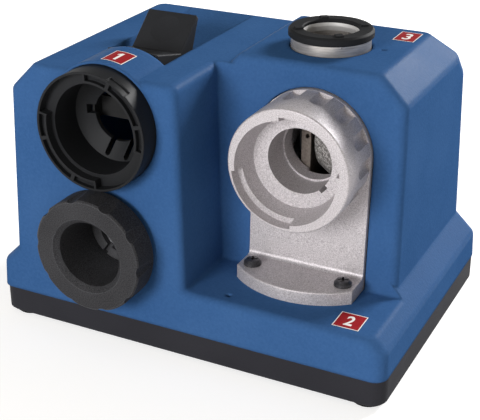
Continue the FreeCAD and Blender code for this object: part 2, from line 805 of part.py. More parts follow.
def setting_cup():
    """Black cup of station 1: two raised ribbed arcs above a ledge, a dished floor with slots."""
    back = cup_front + cup_depth
    ledge = cup_front + cup_step
    floor = back - cup_floor
    centre = V(station_x, 0, cup_z)
    body = turned([(cup_mouth, cup_front), (cup_radius, cup_front), (cup_radius, back), (cup_hole, back),
                   (cup_hole, floor), (cup_bore, floor - cup_dish), (cup_bore, ledge), (cup_mouth, ledge)],
                  centre, Y_AXIS)
    ears = [rod(cup_ear_radius, p, Y_AXIS, cup_ear) for p in cup_ear_points(cup_ear_y)]
    body = body.fuse([ear.cut(rod(cup_mouth, centre, Y_AXIS, REACH)) for ear in ears])
    cuts = [rod(m4_radius + hole_fit, p, Y_AXIS, 2 * cup_ear) for p in cup_ear_points(cup_ear_y - 1.0)]
    first, last = raised_arc
    bounds = [first] + list(pocket_ribs) + [last]
    outer = cup_radius - cup_rim_wall
    for turn in (0.0, 180.0):
        cuts.append(sector_y(cup_bore, outer, (last + turn, first + 180.0 + turn),
                             cup_front - 1.0, ledge, station_x, cup_z))
        for low, high in zip(bounds[:-1], bounds[1:]):
            cuts.append(sector_y(cup_mouth + cup_rim_wall, outer,
                                 (low + pocket_rib / 2 + turn, high - pocket_rib / 2 + turn),
                                 cup_front - 1.0, cup_front + pocket_depth, station_x, cup_z))
    cuts.append(sector_y(cup_radius - cup_window_depth, cup_radius + cup_window_depth, cup_window,
                         cup_front - 1.0, cup_front + cup_window_length, station_x, cup_z))
    notch_low = cup_z + cup_notch_rise - cup_notch_height / 2
    cuts.append(box(station_x - cup_notch_reach, station_x - cup_hole / 2, floor - cup_dish, back + 1.0,
                    notch_low, notch_low + cup_notch_height))
    for offset, end in cup_slots:
        middle = station_x + offset
        half = cup_slot_width / 2
        slot = box(middle - half, middle + half, floor - cup_dish, back + 1.0, cup_z - end + half,
                   cup_z - cup_hole / 2)
        round_end = rod(half, V(middle, floor - cup_dish, cup_z - end + half), Y_AXIS, cup_depth)
        cuts += around(slot.fuse(round_end), 1, centre, Y_AXIS, cup_slot_turn)
    return body.cut(cuts)


def cup_screws():
    """Four screws that hold the cup's ears to the housing."""
    grip = cup_ear + cup_screw_grip - clearance
    return Part.makeCompound([screw(p, Y_AXIS, m4_radius, m4_head, grip, m4_head_height)
                              for p in cup_ear_points(cup_ear_y + cup_ear)])


def depth_stop():
    """Bent steel strap behind the cup that the drill's point is set against."""
    back = cup_front + cup_depth
    half = cup_hole + stop_overlap
    low, high = cup_z - stop_height / 2, cup_z + stop_height / 2
    strap = box(station_x - half, station_x + half, back, back + stop_gap, low, high)
    space = box(station_x - half + stop_sheet, station_x + half - stop_sheet, back - 1.0,
                back + stop_gap - stop_sheet, low - 1.0, high + 1.0)
    return strap.cut(space)


def chuck_body():
    """Chuck sleeve: flange with two cam lugs, nose, and a recess for the knob's spigot."""
    recess = spigot_radius + spigot_fit
    recess_end = spigot_length + clearance
    groove = recess + chuck_groove_depth
    groove_end = ring_groove + ring_groove_width
    head, bore = collet_head + collet_fit, collet_radius + collet_fit
    profile = [(recess, 0), (chuck_flange_radius, 0), (chuck_flange_radius, chuck_flange),
               (chuck_nose_radius, chuck_flange), (chuck_nose_radius, chuck_end - chuck_nose_edge),
               (chuck_nose_radius - chuck_nose_edge, chuck_end), (bore, chuck_end), (bore, head_room),
               (head, head_room), (head, recess_end), (recess, recess_end), (recess, groove_end),
               (groove, groove_end), (groove, ring_groove), (recess, ring_groove)]
    body = turned(profile, V(station_x, 0, chuck_z), Y_AXIS)
    lugs = [sector_y(chuck_nose_radius - 1.0, chuck_flange_radius - chuck_lug_inset,
                     (a - chuck_lug_angle, a + chuck_lug_angle), chuck_flange - 1.0,
                     chuck_flange + chuck_lug, station_x, chuck_z) for a in (90.0, 270.0)]
    return body.fuse(lugs).removeSplitter()


def chuck_snap_ring():
    """Open spring ring that keeps the knob in the chuck."""
    outer = spigot_radius + spigot_fit + chuck_groove_depth - ring_slack
    inner = spigot_radius - knob_groove_depth + ring_slack / 4
    ring = tube(outer, inner, V(station_x, ring_groove + ring_slack, chuck_z), Y_AXIS,
                ring_groove_width - 2 * ring_slack)
    return ring.cut(box(station_x - ring_opening / 2, station_x + ring_opening / 2, 0, spigot_length,
                        chuck_z, chuck_z + 2 * spigot_radius))


def chuck_knob():
    """Black scalloped knob whose threaded spigot draws the collet."""
    mouth = knob_mouth - knob_bore
    groove = spigot_radius - knob_groove_depth
    groove_end = ring_groove + ring_groove_width
    profile = [(knob_mouth, knob_front), (knob_radius - knob_edge, knob_front),
               (knob_radius, knob_front + knob_edge), (knob_radius, knob_back - knob_edge),
               (knob_radius - knob_edge, knob_back), (spigot_radius, knob_back),
               (spigot_radius, ring_groove), (groove, ring_groove), (groove, groove_end),
               (spigot_radius, groove_end), (spigot_radius, spigot_length), (knob_bore, spigot_length),
               (knob_bore, knob_front + mouth)]
    centre = V(station_x, 0, chuck_z)
    body = turned(profile, centre, Y_AXIS)
    reach = knob_radius + scallop_radius - scallop_depth
    length = knob_back - knob_front
    lean = V(scallop_depth / length, 1, 0).normalize()
    start = centre + V(reach, knob_front, 0) - lean * length
    scallop = rod(scallop_radius, start, lean, 3 * length)
    return body.cut(around(scallop, knob_scallops, centre, Y_AXIS, scallop_first))


def collet():
    """Six-jaw steel collet for drills up to 13 mm, with a wide notched mouth."""
    end = chuck_end - chuck_nose_edge
    head_end = collet_face + collet_head_length
    funnel_end = collet_face + collet_funnel
    centre = V(station_x, 0, chuck_z)
    body = turned([(collet_mouth, collet_face), (collet_head - collet_edge, collet_face),
                   (collet_head, collet_face + collet_edge), (collet_head, head_end),
                   (collet_radius, head_end), (collet_radius, end - collet_nose),
                   (collet_radius - collet_nose / 2, end), (drill_radius, end), (drill_radius, funnel_end),
                   (collet_mouth, collet_face + collet_funnel / 2)], centre, Y_AXIS)
    slit = box(station_x, station_x + 2 * collet_radius, head_end, end + 1.0, chuck_z - collet_slit / 2,
               chuck_z + collet_slit / 2)
    notch = box(station_x, station_x + 2 * collet_head, collet_face - 1.0, collet_face + collet_notch,
                chuck_z - collet_notch / 2, chuck_z + collet_notch / 2)
    cuts = around(slit, collet_jaws, centre, Y_AXIS, 0.0)
    return body.cut(cuts + around(notch, collet_notches, centre, Y_AXIS, collet_notch_first))


def bracket_face_y(z):
    """Front face of the bracket's plate at a height."""
    return right_front_y(z) - bracket_proud


def bracket_back_y(z):
    """Back face of the bracket's plate at a height."""
    return bracket_face_y(z) + bracket_plate


def throat_keyway():
    """Straight groove along the throat for the chuck's key."""
    groove = box(bowl_x, bowl_x + keyway_radius, bowl_floor - 1.0, REACH, bowl_z - keyway_width / 2,
                 bowl_z + keyway_width / 2)
    return around(groove, 1, V(bowl_x, 0, bowl_z), Y_AXIS, -keyway_angle)[0]


def grinding_bracket():
    """Cast plate of station 2 with a bowed foot that is screwed to the shelf."""
    plate = bracket_outline(0).extrude(V(0, REACH / 4, 0)).cut(before(bracket_face_y, 0))
    plate = plate.cut(behind(bracket_back_y, 0))
    left, right = bowl_x - bracket_half_width, bowl_x + bracket_half_width
    wall_y = bracket_face_y(shelf_z) + bracket_plate / 2
    corners = [V(right, foot_side, shelf_z), V(right, wall_y, shelf_z), V(left, wall_y, shelf_z),
               V(left, foot_side, shelf_z)]
    bow = Part.Arc(corners[3], V(bowl_x, foot_side - foot_bow, shelf_z), corners[0]).toShape()
    sides = [Part.makeLine(a, b) for a, b in zip(corners[:-1], corners[1:])]
    foot = Part.Face(Part.Wire(sides + [bow])).extrude(V(0, 0, bracket_foot))
    body = plate.fuse(foot).removeSplitter()
    foot_top = shelf_z + bracket_foot
    level = [e for e in body.Edges if abs(e.BoundBox.ZMax - foot_top) < 0.01 and e.BoundBox.ZLength < 0.01]
    inner = [e for e in level if abs(e.BoundBox.YMin - bracket_face_y(foot_top)) < 0.01]
    body = body.makeFillet(bracket_cove, inner)
    front = [e for e in body.Edges if abs(e.BoundBox.ZMax - foot_top) < 0.01 and e.BoundBox.ZLength < 0.01
             and e.BoundBox.YMin < foot_side - 1.0]
    body = body.makeFillet(foot_edge, front)
    cuts = [rod(bowl_throat, V(bowl_x, 0, bowl_z), Y_AXIS, REACH), throat_keyway()]
    cuts += [rod(m5_radius + 2 * hole_fit, p, Z_AXIS, REACH) for p in bracket_screw_points(0.0)]
    cuts += [rod(m4_radius + hole_fit, p, Y_AXIS, REACH) for p in bowl_screw_points(lambda z: 0.0)]
    return body.cut(cuts)


def bowl_screw_points(depth_at):
    """Centres of the bowl's screws, at a depth that may change with height."""
    points = []
    for degrees in bowl_screw_places:
        a = math.radians(degrees)
        x, z = bowl_x + bowl_screw_reach * math.cos(a), bowl_z + bowl_screw_reach * math.sin(a)
        points.append(V(x, depth_at(z), z))
    return points


def guide_bowl():
    """Cast bowl of station 2: tapered bore, two cam slots in the rim, finger flutes at the back."""
    body = rod(bowl_radius, V(bowl_x, bowl_front, bowl_z), Y_AXIS, REACH / 4).cut(behind(bracket_face_y, 0))
    front_edge = [e for e in body.Edges if e.BoundBox.YMax < bowl_front + 0.1]
    body = body.makeFillet(foot_edge, front_edge)
    bore_x, bore_z = bowl_x - bowl_offset, bowl_z - bowl_offset
    bore = turned([(0, bowl_front - 1.0), (bowl_bore, bowl_front - 1.0), (bowl_bore, bowl_front),
                   (bowl_floor_radius, bowl_floor), (0, bowl_floor)], V(bore_x, 0, bore_z), Y_AXIS)
    cuts = [bore, rod(bowl_throat, V(bowl_x, 0, bowl_z), Y_AXIS, REACH), throat_keyway()]
    for turn in (0.0, 180.0):
        arc = (cam_slot[0] + turn, cam_slot[1] + turn)
        cuts.append(sector_y(bowl_floor_radius, bowl_bore + cam_slot_reach, arc, bowl_front - 1.0,
                             bowl_front + cam_slot_depth, bore_x, bore_z))
    for k in range(bowl_flutes):
        a = math.radians(360.0 * k / bowl_flutes)
        reach = bowl_radius + flute_radius - flute_depth
        z = bowl_z + reach * math.sin(a)
        start = V(bowl_x + reach * math.cos(a), bracket_face_y(z) - flute_length + flute_radius, z)
        cuts += [rod(flute_radius, start, Y_AXIS, REACH), Part.makeSphere(flute_radius, start)]
    for p in bowl_screw_points(bracket_face_y):
        hole_end = p - Y_AXIS * (bowl_screw_grip + clearance)
        cuts.append(rod(m4_radius + thread_fit, hole_end, Y_AXIS, 2 * bowl_screw_grip))
    return body.cut(cuts)


def bowl_screws():
    """Three screws from behind the plate into the bowl."""
    grip = bracket_plate + bowl_screw_grip
    seats = bowl_screw_points(lambda z: bracket_back_y(z) + m4_head * front_slope)
    return Part.makeCompound([screw(p, Y_AXIS, m4_radius, m4_head, grip, m4_head_height) for p in seats])


def guide_bush():
    """Steel bush behind the plate, with a keyway and relieved where the wheel passes."""
    bush = tube(bush_radius, bush_bore, V(bowl_x, 0, bowl_z), Y_AXIS, bush_end).cut(before(bracket_back_y, 0))
    sweep = rod(wheel_radius(wheel_right) + wheel_room, V(wheel_left - wheel_room, spindle_y, spindle_z),
                X_AXIS, REACH)
    return bush.cut([sweep, throat_keyway()])


def bracket_screws():
    """Two black pan-head screws with cross recesses on the bracket's foot."""
    screws = []
    for p in bracket_screw_points(shelf_z + bracket_foot):
        body = screw(p, Z_AXIS, m5_radius, m5_head, bracket_foot + bracket_boss - 3.0, m5_head_height)
        slot = box(-m5_head * 0.6, m5_head * 0.6, -0.6, 0.6, m5_head_height - 1.6, m5_head_height + 1.0)
        slot.translate(p)
        screws.append(body.cut(around(slot, 2, p, Z_AXIS, 20.0)[0]).cut(around(slot, 1, p, Z_AXIS, 110.0)[0]))
    return Part.makeCompound(screws)


def top_sleeve():
    """Turned steel sleeve of station 3."""
    low = ring_seat - sleeve_length
    return turned([(sleeve_bore, low), (sleeve_radius, low), (sleeve_radius, ring_seat),
                   (sleeve_bore, ring_seat)],
                  V(port_x, port_y, 0), Z_AXIS)


def top_ring():
    """Black ring pressed into the sleeve, with four small lugs round its mouth."""
    top = ring_seat + ring_height
    low = ring_seat - ring_spigot
    plug = sleeve_bore - thread_fit
    centre = V(port_x, port_y, 0)
    body = turned([(ring_bore + ring_edge, low), (plug, low), (plug, ring_seat),
                   (ring_radius - ring_edge / 2, ring_seat), (ring_radius, ring_seat + ring_edge / 2),
                   (ring_radius, top - ring_edge), (ring_radius - ring_edge, top),
                   (ring_bore + ring_edge / 2, top), (ring_bore, top - ring_edge / 2),
                   (ring_bore, ring_seat + ring_edge / 2)], centre, Z_AXIS)
    lug_low = port_x + ring_bore + ring_edge / 2
    lug = box(lug_low, lug_low + ring_lug_length, port_y - ring_lug_width / 2, port_y + ring_lug_width / 2,
              top - ring_lug, top + ring_lug)
    return body.fuse(around(lug, ring_lugs, centre, Z_AXIS, ring_lug_first)).removeSplitter()


def sleeve_guide():
    """Cast holder under the housing's top that grips the sleeve."""
    flange_top = right_top - guide_drop
    flange_low = flange_top - guide_flange
    inner = sleeve_radius + thread_fit
    collar, flange = inner + guide_wall, inner + 2 * guide_wall
    centre = V(port_x, port_y, 0)
    body = turned([(inner, guide_low), (collar, guide_low), (collar, flange_low), (flange, flange_low),
                   (flange, flange_top), (collar, flange_top), (collar, flange_top + guide_flange),
                   (inner, flange_top + guide_flange)], centre, Z_AXIS)
    ears = [rod(boss_radius, p, Z_AXIS, guide_flange) for p in port_ear_points(flange_low)]
    body = body.fuse(ears).cut(rod(inner, centre, Z_AXIS, REACH)).removeSplitter()
    return body.cut([rod(m4_radius + hole_fit, p, Z_AXIS, REACH) for p in port_ear_points(0.0)])


def guide_screws():
    """Three screws that hold the sleeve's holder."""
    seat = right_top - guide_drop - guide_flange
    grip = guide_flange + guide_drop - housing_wall
    return Part.makeCompound([screw(p, V(0, 0, -1), m4_radius, m4_head, grip, m4_head_height)
                              for p in port_ear_points(seat)])


def rocker():
    """Black rocker: two sloping halves, a round dish in the back one, and a pin at each side."""
    slope = math.radians(rocker_face_slope)
    reach, rise = rocker_half_length * math.cos(slope), rocker_half_length * math.sin(slope)
    drop = rocker_pivot_drop
    outline = [(0, drop), (reach, rise + drop), (reach + 1.2, rise + drop - 2.5),
               (reach * 0.42, drop - rocker_skirt),
               (-reach * 0.42, drop - rocker_skirt), (-reach - 1.2, rise + drop - 2.5), (-reach, rise + drop)]
    body = plate_x(outline, -rocker_half_width, rocker_half_width)
    sides = [e for e in body.Edges if e.BoundBox.XLength < 0.1 and e.BoundBox.ZMax > drop + 1.0]
    body = body.makeFillet(rocker_edge, sides)
    middle = rocker_half_length * 0.56
    centre = V(0, middle * math.cos(slope), drop + middle * math.sin(slope))
    normal = V(0, -math.sin(slope), math.cos(slope))
    body = body.cut(Part.makeSphere(dish_radius, centre + normal * (dish_radius - dish_depth)))
    pin_end = switch_half_width - 0.5
    body = body.fuse(rod(rocker_pin_radius, V(-pin_end, 0, 0), X_AXIS, 2 * pin_end)).removeSplitter()
    body.rotate(V(0, 0, 0), X_AXIS, rocker_tilt)
    body.translate(V(station_x, rocker_valley_y, rocker_valley_z - drop))
    return body


def switch_body():
    """Switch case in the recess floor, with a pocket and pin holes for the rocker."""
    top = recess_floor + switch_rim
    pivot_z = rocker_valley_z - rocker_pivot_drop
    left, right = station_x - switch_half_width, station_x + switch_half_width
    case = box(left, right, switch_front, switch_back, recess_floor - switch_depth, top)
    room = rocker_half_width + rocker_gap
    pocket = box(station_x - room, station_x + room, switch_front + switch_wall, switch_back - switch_wall,
                 pivot_z - rocker_skirt, top + 1.0)
    flange = box(left - switch_flange, right + switch_flange, switch_front - switch_flange,
                 switch_back + switch_flange, recess_floor, top)
    pins = rod(rocker_pin_radius + hole_fit, V(left + switch_fit, rocker_valley_y, pivot_z), X_AXIS,
               2 * (switch_half_width - switch_fit))
    return case.fuse(flange).cut([pocket, pins]).removeSplitter()


def switch_terminals():
    """Four blade terminals under the switch."""
    low = recess_floor - switch_depth
    middle_y = (switch_front + switch_back) / 2
    half, thin = blade_width / 2, blade_sheet / 2
    blades = []
    for x in (station_x - blade_span_x, station_x + blade_span_x):
        for y in (middle_y - blade_span_y, middle_y + blade_span_y):
            blades.append(box(x - half, x + half, y - thin, y + thin, low - blade_length, low))
    return Part.makeCompound(blades)


spindle = V(0, spindle_y, spindle_z)


def motor_can():
    """Rolled steel motor case."""
    start = motor_left + bell_length
    return tube(can_radius, can_radius - can_wall, spindle + X_AXIS * start, X_AXIS,
                motor_right - bell_length - start)


def end_bell(face, inward):
    """Cast motor end with a bearing seat, its plate outside and its boss inside the case."""
    axis = X_AXIS * inward
    inner = can_radius - can_wall - thread_fit
    spigot_in, spigot_end = inner - bell_spigot_wall, bell_length + bell_spigot
    boss, seat = bearing_radius + bell_boss_wall, bearing_radius + bearing_fit
    boss_end = bell_face + bearing_width
    shaft_hole = shaft_radius + bell_shaft_gap
    profile = [(shaft_hole, 0), (can_radius, 0), (can_radius, bell_length), (inner, bell_length),
               (inner, spigot_end), (spigot_in, spigot_end), (spigot_in, bell_length), (boss, bell_length),
               (boss, boss_end), (seat, boss_end), (seat, bell_face), (shaft_hole, bell_face)]
    body = turned(profile, spindle + X_AXIS * face, axis)
    vent = sector_x(boss + bell_shaft_gap, spigot_in - bell_shaft_gap, bell_vent_arc, face - axis.x,
                    axis.x * (spigot_end - 1.0))
    return body.cut(around(vent, bell_vents, spindle, X_AXIS, 0.0))


def sector_x(r_in, r_out, width, start, length):
    """Piece of a ring about the spindle, starting at an X position."""
    def at(radius, degrees):
        a = math.radians(degrees)
        return V(start, spindle_y + radius * math.sin(a), spindle_z + radius * math.cos(a))
    half = width / 2
    outer = Part.Arc(at(r_out, -half), at(r_out, 0), at(r_out, half)).toShape()
    inner = Part.Arc(at(r_in, half), at(r_in, 0), at(r_in, -half)).toShape()
    sides = [Part.makeLine(at(r_out, half), at(r_in, half)), Part.makeLine(at(r_in, -half), at(r_out, -half))]
    return Part.Face(Part.Wire([outer, sides[0], inner, sides[1]])).extrude(V(length, 0, 0))


def bearing(start):
    """Ball bearing shown as its outer and inner ring with shields, one solid."""
    bore, width = shaft_radius + running_gap, bearing_width
    inner, outer = shaft_radius + bearing_ring, bearing_radius - bearing_ring
    slope, sunk = bearing_shield_slope, bearing_shield
    profile = [(bore, 0), (inner, 0), (inner + slope, sunk), (outer - slope, sunk), (outer, 0),
               (bearing_radius, 0), (bearing_radius, width), (outer, width), (outer - slope, width - sunk),
               (inner + slope, width - sunk), (inner, width), (bore, width)]
    return turned(profile, spindle + X_AXIS * start, X_AXIS)


def field_magnets():
    """Two curved magnets against the motor case."""
    inner = can_radius - can_wall
    length = armature_right - armature_left + 2 * magnet_overhang
    arc = sector_x(inner - magnet_thickness, inner - thread_fit, magnet_arc, armature_left - magnet_overhang,
                   length)
    return Part.makeCompound(around(arc, 2, spindle, X_AXIS, 90.0))


def armature_core():
    """Slotted steel rotor stack."""
    length = armature_right - armature_left
    core = tube(rotor_radius, shaft_radius, spindle + X_AXIS * armature_left, X_AXIS, length)
    slot = sector_x(rotor_radius - rotor_slot_depth, rotor_radius + 1.0, rotor_slot_arc, armature_left - 1.0,
                    length + 2.0)
    return core.cut(around(slot, rotor_slots, spindle, X_AXIS, 0.0))


def armature_windings():
    """End turns of the copper windings on both sides of the stack."""
    edge, outer = end_turns_edge, rotor_radius - end_turns_edge
    profile = [(shaft_radius, 0), (outer - edge, 0), (outer, edge), (outer, end_turns - edge),
               (outer - edge, end_turns), (shaft_radius, end_turns)]
    return Part.makeCompound([turned(profile, spindle + X_AXIS * start, X_AXIS)
                              for start in (armature_left - end_turns, armature_right)])


def commutator():
    """Copper commutator next to the rear bearing."""
    return tube(commutator_radius, shaft_radius, spindle + X_AXIS * commutator_left, X_AXIS,
                commutator_right - commutator_left)


def carbon_brushes():
    """Two carbon brushes that run on the commutator."""
    half, tall = brush_width / 2, brush_height / 2
    brushes = []
    for near in (spindle_y - brush_end - brush_length, spindle_y + brush_end):
        brushes.append(box(brush_x - half, brush_x + half, near, near + brush_length, spindle_z - tall,
                           spindle_z + tall))
    return Part.makeCompound(brushes)


def brush_holders():
    """Brass boxes that carry the brushes, reaching to the motor case."""
    half, tall = brush_width / 2 + brush_fit, brush_height / 2 + brush_fit
    wide, high = half + holder_wall, tall + holder_wall
    near = brush_end + holder_setback
    length = math.sqrt((can_radius - can_wall) ** 2 - high ** 2) - thread_fit - near
    holders = []
    for start in (spindle_y - near - length, spindle_y + near):
        sleeve = box(brush_x - wide, brush_x + wide, start, start + length, spindle_z - high,
                     spindle_z + high)
        holders.append(sleeve.cut(box(brush_x - half, brush_x + half, start - 1.0, start + length + 1.0,
                                      spindle_z - tall, spindle_z + tall)))
    return Part.makeCompound(holders)


def motor_shaft():
    """Ground steel shaft from the rear bearing to the wheel's nut."""
    start, edge = motor_left + bell_face, shaft_edge
    return turned([(0, start), (shaft_radius - edge, start), (shaft_radius, start + edge),
                   (shaft_radius, shaft_end - edge), (shaft_radius - edge, shaft_end), (0, shaft_end)],
                  spindle, X_AXIS)


def cooling_fan():
    """Moulded fan with straight blades between the motor and the partition."""
    hub = tube(fan_hub_radius, shaft_radius, spindle + X_AXIS * fan_left, X_AXIS, fan_width)
    disc = tube(fan_radius, shaft_radius, spindle + X_AXIS * (fan_left + fan_width - fan_sheet), X_AXIS,
                fan_sheet)
    blade = box(fan_left, fan_left + fan_width, spindle_y - fan_blade / 2, spindle_y + fan_blade / 2,
                spindle_z + fan_hub_radius - fan_blade, spindle_z + fan_radius - fan_blade)
    return hub.fuse([disc] + around(blade, fan_blades, spindle, X_AXIS, 0.0)).removeSplitter()


def wheel_radius(x):
    """Radius of the conical grinding face at an X position."""
    return wheel_small_radius + (x - wheel_left) * math.tan(math.radians(wheel_slope))


def wheel_hub():
    """Aluminium body of the wheel with a boss towards the motor and a recess for the nut."""
    inner_small, inner_large = wheel_radius(wheel_left) - wheel_grit, wheel_radius(wheel_right) - wheel_grit
    recess = washer_radius + hub_recess / 2
    profile = [(shaft_radius, hub_left), (hub_boss_radius, hub_left), (hub_boss_radius, wheel_left),
               (inner_small, wheel_left), (inner_large, wheel_right), (recess + hub_recess / 2, wheel_right),
               (recess, wheel_face), (shaft_radius, wheel_face)]
    return turned(profile, spindle, X_AXIS)


def grinding_wheel():
    """Diamond grit layer, a cone that widens away from the motor."""
    small, large = wheel_radius(wheel_left), wheel_radius(wheel_right)
    return turned([(small - wheel_grit, wheel_left), (small, wheel_left), (large, wheel_right),
                   (large - wheel_grit, wheel_right)], spindle, X_AXIS)


def wheel_washer():
    """Plain washer under the wheel's nut."""
    return tube(washer_radius, shaft_radius, spindle + X_AXIS * wheel_face, X_AXIS, washer_sheet)


def wheel_nut():
    """Hexagon nut that clamps the wheel."""
    start = wheel_face + washer_sheet
    corners = [(spindle_y + nut_corner * math.cos(math.radians(60 * k)),
                spindle_z + nut_corner * math.sin(math.radians(60 * k))) for k in range(6)]
    nut = plate_x(corners, start, start + nut_height)
    return nut.cut(rod(shaft_radius, spindle + X_AXIS * wheel_face, X_AXIS, REACH))


def cradle_screw_places():
    """Four screws that hold the motor cradle to the tray."""
    middle_x = (cradle_left + cradle_right) / 2
    span_x = (cradle_right - cradle_left) / 2 - cradle_screw_inset
    span_y = cradle_half_depth - cradle_screw_inset
    return [(middle_x + a * span_x, spindle_y + b * span_y) for a in (-1, 1) for b in (-1, 1)]


def cradle_web_places():
    """Left sides of the cradle's two webs."""
    return (cradle_left + cradle_web_inset, cradle_right - cradle_web_inset - cradle_web)


def motor_cradle():
    """Cast stand with two webs that the motor case lies in."""
    front, back = spindle_y - cradle_half_depth, spindle_y + cradle_half_depth
    ear = can_radius + cradle_ear
    floor_plate = box(cradle_left, cradle_right, front, back, cradle_seat, cradle_seat + cradle_floor)
    outline = [(front + cradle_waist, cradle_seat), (back - cradle_waist, cradle_seat),
               (spindle_y + ear, cradle_top), (spindle_y - ear, cradle_top)]
    webs = [plate_x(outline, x, x + cradle_web) for x in cradle_web_places()]
    rib = box(cradle_left + cradle_web_inset, cradle_right - cradle_web_inset, spindle_y - cradle_rib / 2,
              spindle_y + cradle_rib / 2, cradle_seat, spindle_z - can_radius - cradle_rib_drop)
    body = floor_plate.fuse(webs + [rib]).removeSplitter()
    cuts = [rod(can_radius, spindle - X_AXIS * REACH / 2, X_AXIS, REACH)]
    cuts += [rod(m4_radius + hole_fit, V(x, y, 0), Z_AXIS, cradle_seat + 2 * cradle_floor)
             for x, y in cradle_screw_places()]
    return body.cut(cuts)


def motor_straps():
    """Two bent steel straps that hold the motor down on the cradle."""
    outer = can_radius + strap_thickness
    ear = can_radius + cradle_ear
    straps = []
    for x in cradle_web_places():
        band = tube(outer, can_radius, spindle + X_AXIS * x, X_AXIS, cradle_web)
        legs = box(x, x + cradle_web, spindle_y - outer, spindle_y + outer, cradle_top, spindle_z)
        ears = box(x, x + cradle_web, spindle_y - ear, spindle_y + ear, cradle_top,
                   cradle_top + strap_thickness)
        solid = band.cut(box(x - 1.0, x + cradle_web + 1.0, 0, REACH, 0, spindle_z)).fuse([legs, ears])
        case = rod(can_radius, spindle - X_AXIS * REACH / 2, X_AXIS, REACH)
        straps.append(solid.cut(case).removeSplitter())
    return Part.makeCompound([s for strap in straps for s in strap.Solids])


def cradle_screws():
    """Four screws through the cradle's floor into the tray."""
    top, grip = cradle_seat + cradle_floor, cradle_floor + cradle_screw_grip
    return Part.makeCompound([screw(V(x, y, top), Z_AXIS, m4_radius, m4_head, grip, m4_head_height)
                              for x, y in cradle_screw_places()])


def dust_partition():
    """Sheet wall between the motor and the grinding chamber, folded at the foot and beside the wheel."""
    floor = foot_height + tray_floor
    wall = box(partition_x, partition_x + partition_sheet, partition_front, partition_back, floor,
               partition_top)
    foot = box(partition_x, partition_x + partition_foot, partition_front, partition_back, floor,
               floor + partition_sheet)
    fold_right = wheel_left - wheel_room
    fold = box(partition_x, fold_right, partition_front, partition_front + partition_sheet, floor,
               partition_top)
    hole_start = V((partition_x + partition_sheet + fold_right) / 2, 0, fold_hole_z)
    cuts = [rod(partition_hole, spindle, X_AXIS, REACH), rod(fold_hole, hole_start, Y_AXIS, REACH / 4)]
    return wall.fuse([foot, fold]).removeSplitter().cut(cuts)


def cord_gland():
    """Black inlet bush in the back wall; the lead itself is left out."""
    seat = back_y(gland_z) + gland_flange_radius * front_slope
    end = gland_flange + gland_nose
    profile = [(gland_bore, -gland_thread), (gland_radius, -gland_thread), (gland_radius, 0),
               (gland_flange_radius, 0), (gland_flange_radius, gland_flange), (gland_radius, gland_flange),
               (gland_radius - gland_taper, end), (gland_bore, end)]
    return turned(profile, V(gland_x, seat, gland_z), Y_AXIS)


def gland_nut():
    """Hexagon nut that clamps the inlet bush inside the wall."""
    seat = back_y(gland_z) - housing_wall - gland_nut_corner * front_slope - hole_fit
    corners = [(gland_x + gland_nut_corner * math.cos(math.radians(60 * k)),
                gland_z + gland_nut_corner * math.sin(math.radians(60 * k))) for k in range(6)]
    nut = plate_y(corners, seat - gland_nut_height, seat)
    return nut.cut(rod(gland_radius + thread_fit, V(gland_x, 0, gland_z), Y_AXIS, REACH))


def suppressor_capacitor():
    """Moulded box capacitor on the tray's floor."""
    floor = foot_height + tray_floor
    left, back = capacitor_inset_x - housing_half_width, housing_depth - capacitor_inset_y
    body = box(left, left + capacitor_length, back - capacitor_width, back, floor, floor + capacitor_height)
    return body.makeFillet(capacitor_edge, [e for e in body.Edges if e.BoundBox.ZMax > floor + 1.0])


def terminal_block():
    """Two-way screw terminal block on the tray's floor."""
    floor = foot_height + tray_floor
    left, back = block_inset_x - housing_half_width, housing_depth - block_inset_y
    front = back - block_width
    body = box(left, left + block_length, front, back, floor, floor + block_height)
    cuts = []
    for x in (left + block_pitch / 2, left + block_pitch * 3 / 2):
        cuts.append(rod(block_wire_radius, V(x, front - 1.0, floor + block_wire_z), Y_AXIS, 2 * block_width))
        for y in (front + block_screw_inset, back - block_screw_inset):
            cuts.append(rod(block_screw_radius, V(x, y, floor + block_screw_z), Z_AXIS, block_height))
    return body.cut(cuts)


def rear_bearing():
    """Bearing at the end away from the wheel."""
    return bearing(motor_left + bell_face)


def front_bearing():
    """Bearing at the wheel's end."""
    return bearing(motor_right - bell_face - bearing_width)


def rear_end_bell():
    """Motor end away from the wheel."""
    return end_bell(motor_left, 1)


def front_end_bell():
    """Motor end next to the fan."""
    return end_bell(motor_right, -1)


PIECES = [
    upper_housing, base_tray, rubber_feet, housing_screws,
    setting_cup, cup_screws, depth_stop,
    chuck_body, chuck_snap_ring, chuck_knob, collet,
    grinding_bracket, guide_bowl, bowl_screws, guide_bush, bracket_screws,
    top_sleeve, top_ring, sleeve_guide, guide_screws,
    rocker, switch_body, switch_terminals,
    motor_can, rear_end_bell, front_end_bell, rear_bearing, front_bearing, field_magnets,
    armature_core, armature_windings, commutator, carbon_brushes, brush_holders, motor_shaft, cooling_fan,
    wheel_hub, grinding_wheel, wheel_washer, wheel_nut,
    motor_cradle, motor_straps, cradle_screws, dust_partition,
    cord_gland, gland_nut, suppressor_capacitor, terminal_block]

rear_reach = back_y(gland_z) + gland_flange_radius * front_slope + gland_flange + gland_nose
origin_y = (knob_front + rear_reach) / 2

os.makedirs("parts", exist_ok=True)
for piece in PIECES:
    solid = piece()
    solid.translate(V(0, -origin_y, 0))
    solid.exportStep(f"parts/{piece.__name__}.step")
    if not solid.isValid():
        print("not valid:", piece.__name__)
print("origin lies", round(origin_y, 3), "mm behind the housing's front rim")
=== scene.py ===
import bpy
import numpy as np
from mathutils import Matrix


